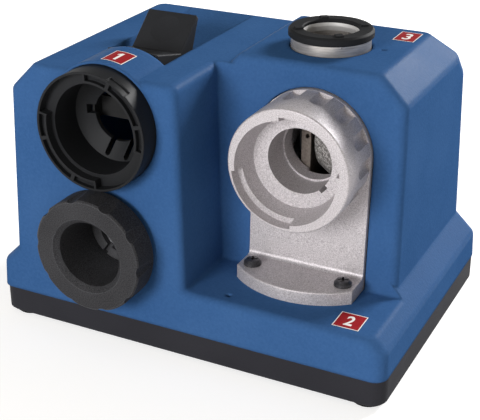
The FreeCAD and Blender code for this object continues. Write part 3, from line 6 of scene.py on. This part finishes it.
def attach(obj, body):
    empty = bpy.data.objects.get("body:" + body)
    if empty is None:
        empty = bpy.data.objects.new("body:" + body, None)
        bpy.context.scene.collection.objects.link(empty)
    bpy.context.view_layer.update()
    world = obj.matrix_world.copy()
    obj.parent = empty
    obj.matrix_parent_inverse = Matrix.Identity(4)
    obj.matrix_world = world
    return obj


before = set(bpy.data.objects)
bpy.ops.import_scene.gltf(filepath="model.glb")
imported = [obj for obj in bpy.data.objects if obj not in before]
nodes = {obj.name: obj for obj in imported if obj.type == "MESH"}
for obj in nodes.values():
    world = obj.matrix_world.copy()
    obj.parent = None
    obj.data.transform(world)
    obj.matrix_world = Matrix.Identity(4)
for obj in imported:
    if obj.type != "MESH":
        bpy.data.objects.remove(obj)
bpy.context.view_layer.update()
MM = 0.001


# Base tray and feet
# The tray is a shallow injection moulding in dark grey ABS with a spark-eroded skin.
# Four black rubber feet are pressed into its floor, and zinc-plated screws come up through it.
NOISE_LOW, NOISE_HIGH = 0.3, 0.7         # most of a noise lies between these
SPECK_LOW, SPECK_HIGH = 0.35, 0.75       # the part of the grain that shows as specks
TINT_LOW, TINT_HIGH, TINT = 0.35, 0.7, 0.16
EDGE_FROM, EDGE_FULL = 0.99, 0.80        # cosine between the rounded and the flat normal
PLASTIC_PATCH_MM, METAL_PATCH_MM = 45.0, 18.0
PLASTIC_BUMP, METAL_BUMP = 0.6, 0.5
PLASTIC_IOR = 1.53
BEVEL_SAMPLES = 6


def linear(code):
    """Linear red, green and blue of an sRGB hex colour: a straight foot, then a power of 2.4."""
    srgb = np.array([int(code[k:k + 2], 16) for k in (1, 3, 5)]) / 255.0
    value = np.where(srgb <= 0.04045, srgb / 12.92, ((srgb + 0.055) / 1.055) ** 2.4)
    return (*value.tolist(), 1.0)


def add(tree, kind, settings=(), values=(), links=()):
    """Adds one shader node, then sets its properties, its socket values and its incoming links."""
    made = tree.nodes.new(kind)
    for name, value in dict(settings).items():
        setattr(made, name, value)
    for socket, value in dict(values).items():
        made.inputs[socket].default_value = value
    for socket, source in dict(links).items():
        tree.links.new(source, made.inputs[socket])
    return made


def noise(tree, place, size_mm, detail, roughness=0.5):
    """Value of a noise with features of about size_mm."""
    values = {"Scale": 1 / (size_mm * MM), "Detail": detail, "Roughness": roughness}
    return add(tree, "ShaderNodeTexNoise", values=values, links={"Vector": place}).outputs["Fac"]


def spread(tree, value, low, high, out_low=0.0, out_high=1.0):
    """Maps low to high of a value in a straight line onto out_low to out_high, held at the ends."""
    values = {"From Min": low, "From Max": high, "To Min": out_low, "To Max": out_high}
    return add(tree, "ShaderNodeMapRange", values=values, links={"Value": value}).outputs[0]


def sums(tree, operation, first, second):
    """One arithmetic step on two sockets."""
    return add(tree, "ShaderNodeMath", {"operation": operation}, links={0: first, 1: second}).outputs[0]


def blend(tree, share, first, second):
    """Mixes two hex colours; a share of one gives the second."""
    return add(tree, "ShaderNodeMix", {"data_type": "RGBA"}, {6: linear(first), 7: linear(second)},
               {0: share}).outputs[2]


def new_material(name):
    """An empty node material, its tree and its output node."""
    material = bpy.data.materials.new(name)
    material.use_nodes = True
    material.node_tree.nodes.clear()
    return material, material.node_tree, add(material.node_tree, "ShaderNodeOutputMaterial")


def coat(tree, output, values, links):
    """Puts a principled shader on a material's output."""
    shader = add(tree, "ShaderNodeBsdfPrincipled", values=values, links=links)
    tree.links.new(shader.outputs[0], output.inputs["Surface"])


def dress(material, *names):
    """Gives CAD nodes one material."""
    for name in names:
        nodes[name].data.materials.clear()
        nodes[name].data.materials.append(material)


def moulded(name, colour, worn_and_highlight, grain_mm, depth_mm, roughness,
            specular=0.1, soft_mm=0.6, edge_wear_and_highlight=0.18, specks=0.16):
    """Moulded plastic: eroded grain in the bump, broad patches in colour and gloss, and corners shaded as
    if rounded by soft_mm. The colour goes towards worn_and_highlight by up to specks on the grain's peaks
    and by up to edge_wear_and_highlight along edges, which is part wear and part painted highlight."""
    material, tree, output = new_material(name)
    place = add(tree, "ShaderNodeTexCoord").outputs["Object"]
    grain = noise(tree, place, grain_mm, detail=3.0, roughness=0.6)
    patches = noise(tree, place, PLASTIC_PATCH_MM, detail=4.0)
    rounded = add(tree, "ShaderNodeBevel", {"samples": BEVEL_SAMPLES},
                  {"Radius": soft_mm * MM}).outputs["Normal"]
    flat = add(tree, "ShaderNodeNewGeometry").outputs["Normal"]
    across = add(tree, "ShaderNodeVectorMath", {"operation": "DOT_PRODUCT"},
                 links={0: rounded, 1: flat}).outputs["Value"]
    # Edges are paled: partly wear, partly a painted highlight where the rounded edges would catch the light.
    edge = spread(tree, across, EDGE_FROM, EDGE_FULL, out_high=edge_wear_and_highlight)
    tone = spread(tree, patches, TINT_LOW, TINT_HIGH, out_high=TINT)
    speck = spread(tree, grain, SPECK_LOW, SPECK_HIGH, out_high=specks)
    total = sums(tree, "ADD", sums(tree, "ADD", edge, tone), speck)
    mixed = blend(tree, total, colour, worn_and_highlight)
    gloss = spread(tree, patches, NOISE_LOW, NOISE_HIGH, roughness - 0.05, roughness + 0.07)
    bump = add(tree, "ShaderNodeBump", values={"Strength": PLASTIC_BUMP, "Distance": depth_mm * MM},
               links={"Height": grain, "Normal": rounded}).outputs[0]
    coat(tree, output, {"IOR": PLASTIC_IOR, "Specular IOR Level": specular},
         {"Base Color": mixed, "Roughness": gloss, "Normal": bump})
    return material


def metal(name, colour, dark, grain_mm, depth_mm, roughness, stretch=(1, 1, 1), metallic=1.0):
    """Bare or plated metal: fine grain in tone, gloss and bump, drawn out along one way by a stretch."""
    material, tree, output = new_material(name)
    place = add(tree, "ShaderNodeTexCoord").outputs["Object"]
    drawn = add(tree, "ShaderNodeMapping", values={"Scale": stretch}, links={"Vector": place}).outputs[0]
    grain = noise(tree, drawn, grain_mm, detail=4.0, roughness=0.65)
    broad = noise(tree, place, METAL_PATCH_MM, detail=3.0)
    mixed = blend(tree, spread(tree, grain, NOISE_LOW, NOISE_HIGH), dark, colour)
    gloss = spread(tree, broad, NOISE_LOW, NOISE_HIGH, roughness - 0.06, roughness + 0.08)
    bump = add(tree, "ShaderNodeBump", values={"Strength": METAL_BUMP, "Distance": depth_mm * MM},
               links={"Height": grain}).outputs[0]
    coat(tree, output, {"Metallic": metallic}, {"Base Color": mixed, "Roughness": gloss, "Normal": bump})
    return material


dark_abs = moulded("ABS_dark_grey_eroded", "#28282d", "#404046", grain_mm=0.7, depth_mm=0.10,
                   roughness=0.62, specular=0.06, soft_mm=1.5)
foot_rubber = moulded("rubber_black_moulded", "#161617", "#2a2a2b", grain_mm=1.2, depth_mm=0.10,
                      roughness=0.75)
zinc = metal("steel_zinc_plated", "#c9ccce", "#9fa3a6", grain_mm=0.8, depth_mm=0.01, roughness=0.32)
dress(dark_abs, "base_tray")
dress(foot_rubber, "rubber_feet")
dress(zinc, "housing_screws")

# Upper housing
# One large injection moulding in blue ABS, eroded matt outside, with two columns and a front shelf.
# It drops over the tray's lip and carries every station; its sloped shoulders carry a painted sheen, chosen
# by which way each face slopes.
SLOPE_FROM, SLOPE_FULL, SLOPE_SHEEN_SPECULAR = 0.06, 0.5, 0.016
blue_abs = moulded("ABS_blue_eroded", "#325584", "#5075a7", grain_mm=1.6, depth_mm=0.28,
                   roughness=0.40, specular=0.0, soft_mm=3.0)
tree = blue_abs.node_tree
# Painted sheen: specular is turned up only on faces that slope sideways and up, picked by their normal, so
# the shoulders shine while flat tops and walls stay matt.
normal = add(tree, "ShaderNodeNewGeometry").outputs["Normal"]
facing = add(tree, "ShaderNodeSeparateXYZ", links={"Vector": normal}).outputs
sloped = sums(tree, "MULTIPLY", facing["X"], facing["Z"])
either = add(tree, "ShaderNodeMath", {"operation": "ABSOLUTE"}, links={0: sloped}).outputs[0]
slope_sheen = spread(tree, either, SLOPE_FROM, SLOPE_FULL, out_high=SLOPE_SHEEN_SPECULAR)
tree.links.new(slope_sheen, tree.nodes["Principled BSDF"].inputs["Specular IOR Level"])
dress(blue_abs, "upper_housing")

# Number labels
# Printed vinyl stickers, red with a white border and a white number, on the three stations.
# Each follows the surface that it is stuck to and lies a tenth of a millimetre proud.
# The font's 1 is a plain bar, so a small flag is laid against its top.
STATION_X, CUP_Z, ARCH_RADIUS = -47.7, 135.5, 36.0
SHELF_TOP, RIGHT_TOP = 44.0, 170.0
ORIGIN_Y = 82.785                        # the frame's zero, in the plan measures used here
LABEL_LIFT, INK_LIFT, LABEL_BORDER = 0.12, 0.03, 0.55
LABEL_ROWS, LABEL_COLUMNS = 25, 5
DIGIT_HEIGHT, DIGIT_BOLD = 0.86, 0.30
FLAG_TIP, FLAG_ROOT = -46.2, -44.7
FLAG_TIP_Y, FLAG_ROOT_Y = (21.4, 22.7), (22.4, 24.8)
INK_GRAIN_MM, INK_THIN = 1.5, 0.86


def arch_top(x):
    """Height of the round arch over the setting cup: a circle about the cup's axis."""
    return CUP_Z + np.sqrt(ARCH_RADIUS ** 2 - (x - STATION_X) ** 2)


def grid_object(name, points, material):
    """A mesh from a grid of points in millimetres, with quads between neighbours."""
    rows, columns = points.shape[:2]
    mesh = bpy.data.meshes.new(name)
    index = np.arange(rows * columns).reshape(rows, columns)
    quads = np.stack([index[:-1, :-1], index[1:, :-1], index[1:, 1:], index[:-1, 1:]], -1).reshape(-1, 4)
    mesh.from_pydata((points.reshape(-1, 3) * MM).tolist(), [], quads.tolist())
    mesh.materials.append(material)
    made = bpy.data.objects.new(name, mesh)
    bpy.context.scene.collection.objects.link(made)
    return made


def vinyl(name, colour):
    """Printed vinyl: smooth, with faintly uneven ink and low gloss."""
    material, tree, output = new_material(name)
    place = add(tree, "ShaderNodeTexCoord").outputs["Object"]
    ink = noise(tree, place, INK_GRAIN_MM, detail=3.0)
    shade = spread(tree, ink, NOISE_LOW, NOISE_HIGH, INK_THIN, 1.0)
    tint = add(tree, "ShaderNodeMix", {"data_type": "RGBA", "blend_type": "MULTIPLY"},
               {0: 1.0, 6: linear(colour)}, {7: shade}).outputs[2]
    coat(tree, output, {"Roughness": 0.5, "IOR": 1.5, "Specular IOR Level": 0.06}, {"Base Color": tint})
    return material


red_vinyl = vinyl("vinyl_print_red", "#9a1f25")
white_vinyl = vinyl("vinyl_print_white", "#f2efee")


def label(number, low, high, surface, narrow):
    """Red field, white border and a bold number laid on surface(x); low and high are plan corners in mm,
    and the number's width is multiplied by narrow."""
    def patch(name, margin, lift, material):
        across = np.linspace(low[0] + margin, high[0] - margin, LABEL_ROWS)
        along = np.linspace(low[1] + margin, high[1] - margin, LABEL_COLUMNS)
        x, y = np.meshgrid(across, along, indexing="ij")
        return grid_object(name, np.stack([x, y - ORIGIN_Y, surface(x) + lift], -1), material)
    border = patch(f"label_{number}_border", 0.0, LABEL_LIFT, white_vinyl)
    field = patch(f"label_{number}_field", LABEL_BORDER, LABEL_LIFT + INK_LIFT, red_vinyl)
    words = bpy.data.curves.new(f"label_{number}_digit", "FONT")
    words.body = str(number)
    words.size = (high[1] - low[1]) * DIGIT_HEIGHT
    words.offset = DIGIT_BOLD
    text = bpy.data.objects.new(words.name, words)
    bpy.context.scene.collection.objects.link(text)
    bpy.context.view_layer.update()
    mesh = bpy.data.meshes.new_from_object(text.evaluated_get(bpy.context.evaluated_depsgraph_get()))
    bpy.data.objects.remove(text)
    spots = np.empty(len(mesh.vertices) * 3)
    mesh.vertices.foreach_get("co", spots)
    spots = spots.reshape(-1, 3)
    middle = (spots.min(0) + spots.max(0)) / 2
    x = (spots[:, 0] - middle[0]) * narrow + (low[0] + high[0]) / 2
    y = spots[:, 1] - middle[1] + (low[1] + high[1]) / 2
    placed = np.stack([x, y - ORIGIN_Y, surface(x) + LABEL_LIFT + 2 * INK_LIFT], -1) * MM
    mesh.vertices.foreach_set("co", placed.ravel())
    mesh.materials.clear()
    mesh.materials.append(white_vinyl)
    digit = bpy.data.objects.new(f"label_{number}_digit", mesh)
    bpy.context.scene.collection.objects.link(digit)
    for piece in (border, field, digit):
        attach(piece, "housing")


label(1, (-50.4, 11.3), (-37.3, 28.0), arch_top, narrow=0.85)
label(2, (90.9, 7.7), (106.3, 23.5), lambda x: np.full_like(x, SHELF_TOP), narrow=0.75)
label(3, (77.4, 120.6), (90.2, 138.6), lambda x: np.full_like(x, RIGHT_TOP), narrow=0.75)
flag_x = np.array([[FLAG_TIP, FLAG_TIP], [FLAG_ROOT, FLAG_ROOT]])
flag_y = np.array([FLAG_TIP_Y, FLAG_ROOT_Y])
flag_z = arch_top(flag_x) + LABEL_LIFT + 2 * INK_LIFT
flag = grid_object("label_1_flag", np.stack([flag_x, flag_y - ORIGIN_Y, flag_z], -1), white_vinyl)
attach(flag, "housing")

# Setting cup with its depth stop
# Black glass-filled nylon, moulded, screwed to the inside of the front wall.
# A bent steel strap behind it sets how far the drill reaches; it is black from oxide, and darker still as
# painted shade for the hole.
black_nylon = moulded("nylon_black_moulded", "#1b1c1e", "#303134", grain_mm=0.9, depth_mm=0.05,
                      roughness=0.44, specular=0.09)
# Painted shade: the strap is near black, darker than oxide alone, to stand for the shade inside the cup's
# hole.
oxide_and_shade_strap = metal("steel_black_strap", "#101011", "#0a0a0b", grain_mm=0.6, depth_mm=0.02,
                   roughness=0.70, metallic=0.2)
dress(black_nylon, "setting_cup")
dress(oxide_and_shade_strap, "depth_stop")
dress(zinc, "cup_screws")

# Stored chuck
# A knob and a body in black nylon with a sandy face, a steel collet and a spring ring.
# The chuck stands loose in its socket under the cup.
# Its pale specks are grain; its strongly paled edges are part wear and part painted highlight.
sandy_nylon = moulded("nylon_black_sandy", "#151517", "#59595d", grain_mm=0.6, depth_mm=0.12,
                      roughness=0.58, specular=0.10, soft_mm=1.0, edge_wear_and_highlight=0.8, specks=0.55)
grey_steel = metal("steel_hardened_grey", "#616164", "#47474a", grain_mm=0.5, depth_mm=0.01,
                   roughness=0.38, metallic=0.5)
bright_steel = metal("steel_turned", "#c3c3c4", "#a2a2a4", grain_mm=0.5, depth_mm=0.01, roughness=0.26)
dress(sandy_nylon, "chuck_knob", "chuck_body")
dress(grey_steel, "collet")
dress(bright_steel, "chuck_snap_ring")

# Grinding station
# Sand-blasted die castings in aluminium with a bush behind the plate; two black cross-head screws.
# The casting's grain is drawn coarser than real blasting so that it shows.
cast_alloy = metal("aluminium_cast_blasted", "#d6d1d4", "#8b8588", grain_mm=0.6, depth_mm=0.14,
                   roughness=0.48, metallic=0.35)
black_oxide = metal("steel_black_oxide", "#57565a", "#2e2d30", grain_mm=0.6, depth_mm=0.02,
                    roughness=0.34, metallic=0.6)
dress(cast_alloy, "grinding_bracket", "guide_bowl", "guide_bush")
dress(black_oxide, "bracket_screws")
dress(zinc, "bowl_screws")

# Splitting station on top
# A turned steel sleeve with fine lathe rings and a black moulded ring pressed into it.
# The sleeve's bright lip lines the lower part of the ring's bore; it is drawn in the ring's material.
PORT_X, PORT_Y, LIP_TOP, LIP_RADIUS = 50.0, 95.0, 178.6, 17.4
LIP_COLOUR, LIP_METALLIC = "#dcdbda", 0.6
LATHE_RINGS = (0.05, 0.05, 1.0)
lathe_steel = metal("steel_lathe_turned", "#cbc6c2", "#938e8a", grain_mm=0.6, depth_mm=0.02,
                    roughness=0.30, stretch=LATHE_RINGS, metallic=0.6)
ring_nylon = moulded("nylon_black_ring", "#1f2022", "#313235", grain_mm=0.7, depth_mm=0.08,
                     roughness=0.60, specular=0.06)
tree = ring_nylon.node_tree
place = add(tree, "ShaderNodeTexCoord").outputs["Object"]
plan = add(tree, "ShaderNodeVectorMath", {"operation": "MULTIPLY"}, {1: (1.0, 1.0, 0.0)}, {0: place})
centre = (PORT_X * MM, (PORT_Y - ORIGIN_Y) * MM, 0.0)
radius = add(tree, "ShaderNodeVectorMath", {"operation": "DISTANCE"}, {1: centre}, {0: plan.outputs[0]})
inside = add(tree, "ShaderNodeMath", {"operation": "LESS_THAN"}, {1: LIP_RADIUS * MM},
             {0: radius.outputs["Value"]})
height = add(tree, "ShaderNodeSeparateXYZ", links={"Vector": place}).outputs["Z"]
below = add(tree, "ShaderNodeMath", {"operation": "LESS_THAN"}, {1: LIP_TOP * MM}, {0: height})
lip = sums(tree, "MULTIPLY", inside.outputs[0], below.outputs[0])
shader = tree.nodes["Principled BSDF"]
lined = add(tree, "ShaderNodeMix", {"data_type": "RGBA"}, {7: linear(LIP_COLOUR)},
            {0: lip, 6: shader.inputs["Base Color"].links[0].from_socket})
tree.links.new(lined.outputs[2], shader.inputs["Base Color"])
steely = add(tree, "ShaderNodeMath", {"operation": "MULTIPLY"}, {1: LIP_METALLIC}, {0: lip})
tree.links.new(steely.outputs[0], shader.inputs["Metallic"])
dress(lathe_steel, "top_sleeve")
dress(ring_nylon, "top_ring")
dress(cast_alloy, "sleeve_guide")
dress(zinc, "guide_screws")

# Rocker switch
# Satin black polycarbonate rocker on two pins, in a moulded frame with brass blades.
# Its paled edges are part wear and part painted highlight.
satin_black = moulded("polycarbonate_black", "#2a2b2e", "#3e3f43", grain_mm=1.0, depth_mm=0.04,
                      roughness=0.40, specular=0.07, soft_mm=0.9, edge_wear_and_highlight=0.7)
brass = metal("brass_stamped", "#d2b064", "#a98a45", grain_mm=0.7, depth_mm=0.01, roughness=0.32)
dress(satin_black, "rocker")
dress(black_nylon, "switch_body")
dress(brass, "switch_terminals")

# Motor
# A brushed motor: phosphated steel case, cast end bells, ferrite magnets, a wound and laminated rotor
# on a ground shaft, carbon brushes in brass holders and a moulded fan.
WIRE_TURNS = (3.0, 0.3, 0.3)
phosphate = metal("steel_phosphated", "#55575a", "#3d3f42", grain_mm=0.8, depth_mm=0.02, roughness=0.48)
ferrite = moulded("ferrite_sintered", "#2a2a2d", "#3a3a3e", grain_mm=0.6, depth_mm=0.05, roughness=0.7)
copper = metal("copper_wound", "#c77a4c", "#8d4e2a", grain_mm=0.5, depth_mm=0.05, roughness=0.35,
               stretch=WIRE_TURNS)
carbon = moulded("carbon_pressed", "#1b1b1d", "#303033", grain_mm=0.5, depth_mm=0.05, roughness=0.6)
dress(phosphate, "motor_can", "armature_core")
dress(cast_alloy, "rear_end_bell", "front_end_bell", "motor_cradle")
dress(ferrite, "field_magnets")
dress(copper, "armature_windings", "commutator")
dress(carbon, "carbon_brushes")
dress(brass, "brush_holders")
dress(bright_steel, "motor_shaft", "rear_bearing", "front_bearing")
dress(black_nylon, "cooling_fan")
dress(zinc, "cradle_screws", "motor_straps")

# Grinding wheel
# A cone of diamond grit bonded on an aluminium hub, clamped by a nut and a washer.
# The grit is drawn coarser than real so that its sparkle shows.
GRIT_MM, GRIT_DEPTH_MM, GRIT_BUMP = 0.8, 0.3, 0.8
SPARK_POWER = 2.5
GRIT_MATT, GRIT_BRIGHT, GRIT_METALLIC = 0.65, 0.35, 0.3


def bonded_grit(name, pale, dark):
    """Cells of grit: each has its own tone, a random number to a power, and its own gloss; the bump
    falls from each cell's middle to the bond between them."""
    material, tree, output = new_material(name)
    place = add(tree, "ShaderNodeTexCoord").outputs["Object"]
    cells = add(tree, "ShaderNodeTexVoronoi", values={"Scale": 1 / (GRIT_MM * MM)}, links={"Vector": place})
    own = add(tree, "ShaderNodeSeparateColor", links={"Color": cells.outputs["Color"]})
    spark = add(tree, "ShaderNodeMath", {"operation": "POWER"}, {1: SPARK_POWER}, {0: own.outputs[0]})
    mixed = blend(tree, spark.outputs[0], dark, pale)
    gloss = spread(tree, own.outputs[1], 0.0, 1.0, GRIT_MATT, GRIT_BRIGHT)
    bump = add(tree, "ShaderNodeBump", {"invert": True},
               {"Strength": GRIT_BUMP, "Distance": GRIT_DEPTH_MM * MM},
               {"Height": cells.outputs["Distance"]}).outputs[0]
    coat(tree, output, {"Metallic": GRIT_METALLIC},
         {"Base Color": mixed, "Roughness": gloss, "Normal": bump})
    return material


diamond = bonded_grit("diamond_grit_bonded", "#dedbd8", "#6a6664")
dress(diamond, "grinding_wheel")
dress(cast_alloy, "wheel_hub")
dress(zinc, "wheel_washer", "wheel_nut")

# Partition, inlet and wiring parts
# A folded sheet, brown from its passivation, keeps the dust from the motor.
# The inlet gland is black nylon; the suppressor and the terminal block are pale polyamide.
brown_sheet = metal("steel_sheet_passivated", "#7d736b", "#5d544e", grain_mm=1.5, depth_mm=0.01,
                    roughness=0.55, metallic=0.3)
pale_plastic = moulded("polyamide_pale", "#d9d6c8", "#bdb9a8", grain_mm=0.8, depth_mm=0.03, roughness=0.5)
dress(brown_sheet, "dust_partition")
dress(black_nylon, "cord_gland", "gland_nut")
dress(pale_plastic, "suppressor_capacitor", "terminal_block")

# Floor, light and camera
# A pale floor that fades to white, a large soft light in front, a weak one at the right and one behind.
# The backdrop is white to the camera and in reflections, darker overhead, and lights the object less.
WHITE = (1, 1, 1, 1)
FLOOR_REACH = 12000.0                    # mm
FADE_FROM, FADE_TO, FLOOR_GLOW = 0.5, 1.5, 0.58
OVERHEAD_FROM, OVERHEAD_TO, OVERHEAD = 0.05, 0.45, 0.15
BESIDE_TO, BESIDE = 0.6, 0.35
AMBIENT, AMBIENT_COLOUR = 0.28, "#fff4dd"
OBJECT_MIDDLE = (0.0, 0.0, 0.09)         # m
CAMERA_AZIMUTH, CAMERA_ELEVATION = 26.549, 25.419
CAMERA_PLACE = (0.282476, -0.568365, 0.362773)
LENS_MM, SENSOR_MM, CLIP_START = 85.45, 36.0, 0.01


def background_seen(tree):
    """One where a ray comes from the camera, a reflection or a clear piece, otherwise zero."""
    path = add(tree, "ShaderNodeLightPath")
    seen = path.outputs["Is Camera Ray"]
    for name in ("Is Glossy Ray", "Is Transmission Ray"):
        seen = sums(tree, "MAXIMUM", seen, path.outputs[name])
    return seen


floor_material, tree, output = new_material("studio_floor")
away = add(tree, "ShaderNodeVectorMath", {"operation": "LENGTH"},
           links={0: add(tree, "ShaderNodeTexCoord").outputs["Object"]})
paler = spread(tree, away.outputs["Value"], FADE_FROM, FADE_TO, FLOOR_GLOW, 1.0)
lift = sums(tree, "MULTIPLY", paler, background_seen(tree))
base = add(tree, "ShaderNodeBsdfDiffuse", values={"Color": linear("#d8d8da")})
glow = add(tree, "ShaderNodeEmission", values={"Color": WHITE}, links={"Strength": lift})
both = add(tree, "ShaderNodeAddShader", links={0: base.outputs[0], 1: glow.outputs[0]})
tree.links.new(both.outputs[0], output.inputs["Surface"])
reach = np.linspace(-FLOOR_REACH, FLOOR_REACH, 2)
floor_x, floor_y = np.meshgrid(reach, reach, indexing="ij")
grid_object("floor", np.stack([floor_x, floor_y, np.zeros_like(floor_x)], -1), floor_material)

world = bpy.data.worlds.new("studio")
bpy.context.scene.world = world
world.use_nodes = True
tree = world.node_tree
tree.nodes.clear()
direction = add(tree, "ShaderNodeTexCoord").outputs["Generated"]
way = add(tree, "ShaderNodeSeparateXYZ", links={"Vector": direction}).outputs
above = spread(tree, way["Z"], OVERHEAD_FROM, OVERHEAD_TO, 1.0, OVERHEAD)
beside = spread(tree, way["X"], 0.0, BESIDE_TO, 1.0, BESIDE)
shown = sums(tree, "MULTIPLY", above, beside)
seen = background_seen(tree)
strength = add(tree, "ShaderNodeMapRange", values={"To Min": AMBIENT}, links={"Value": seen, "To Max": shown})
warmth = add(tree, "ShaderNodeMix", {"data_type": "RGBA"}, {6: linear(AMBIENT_COLOUR), 7: WHITE}, {0: seen})
backdrop = add(tree, "ShaderNodeBackground",
               links={"Color": warmth.outputs[2], "Strength": strength.outputs[0]})
add(tree, "ShaderNodeOutputWorld", links={"Surface": backdrop.outputs[0]})


def stand(name, data, place, back):
    """Puts a lamp or camera at place, looking against back, with its side level; metres."""
    made = bpy.data.objects.new(name, data)
    back = np.array(back, float) / np.linalg.norm(back)
    side = np.cross((0.0, 0.0, 1.0), back)
    side /= np.linalg.norm(side)
    turn = np.eye(4)
    turn[:3] = np.stack([side, np.cross(back, side), back, place], -1)
    made.matrix_world = Matrix(turn.tolist())
    bpy.context.scene.collection.objects.link(made)
    return made


def softbox(name, place, size, power):
    """Square area light at place, turned to the object's middle; metres and watts."""
    lamp = bpy.data.lights.new(name, "AREA")
    lamp.size = size
    lamp.energy = power
    return stand(name, lamp, place, np.array(place) - OBJECT_MIDDLE)


softbox("key_light", (-0.28, -1.65, 0.62), size=0.65, power=24.7)
softbox("fill_light", (0.9, -1.3, 0.55), size=0.6, power=2.2)
softbox("back_light", (0.75, 1.5, 0.92), size=0.6, power=46.0)

azimuth, elevation = np.radians(CAMERA_AZIMUTH), np.radians(CAMERA_ELEVATION)
lens = bpy.data.cameras.new("camera")
lens.sensor_width = SENSOR_MM
lens.sensor_fit = "HORIZONTAL"
lens.lens = LENS_MM
lens.clip_start = CLIP_START
camera_back = (np.sin(azimuth) * np.cos(elevation), -np.cos(azimuth) * np.cos(elevation), np.sin(elevation))
bpy.context.scene.camera = stand("camera", lens, CAMERA_PLACE, camera_back)
bpy.context.scene.view_settings.view_transform = "Standard"
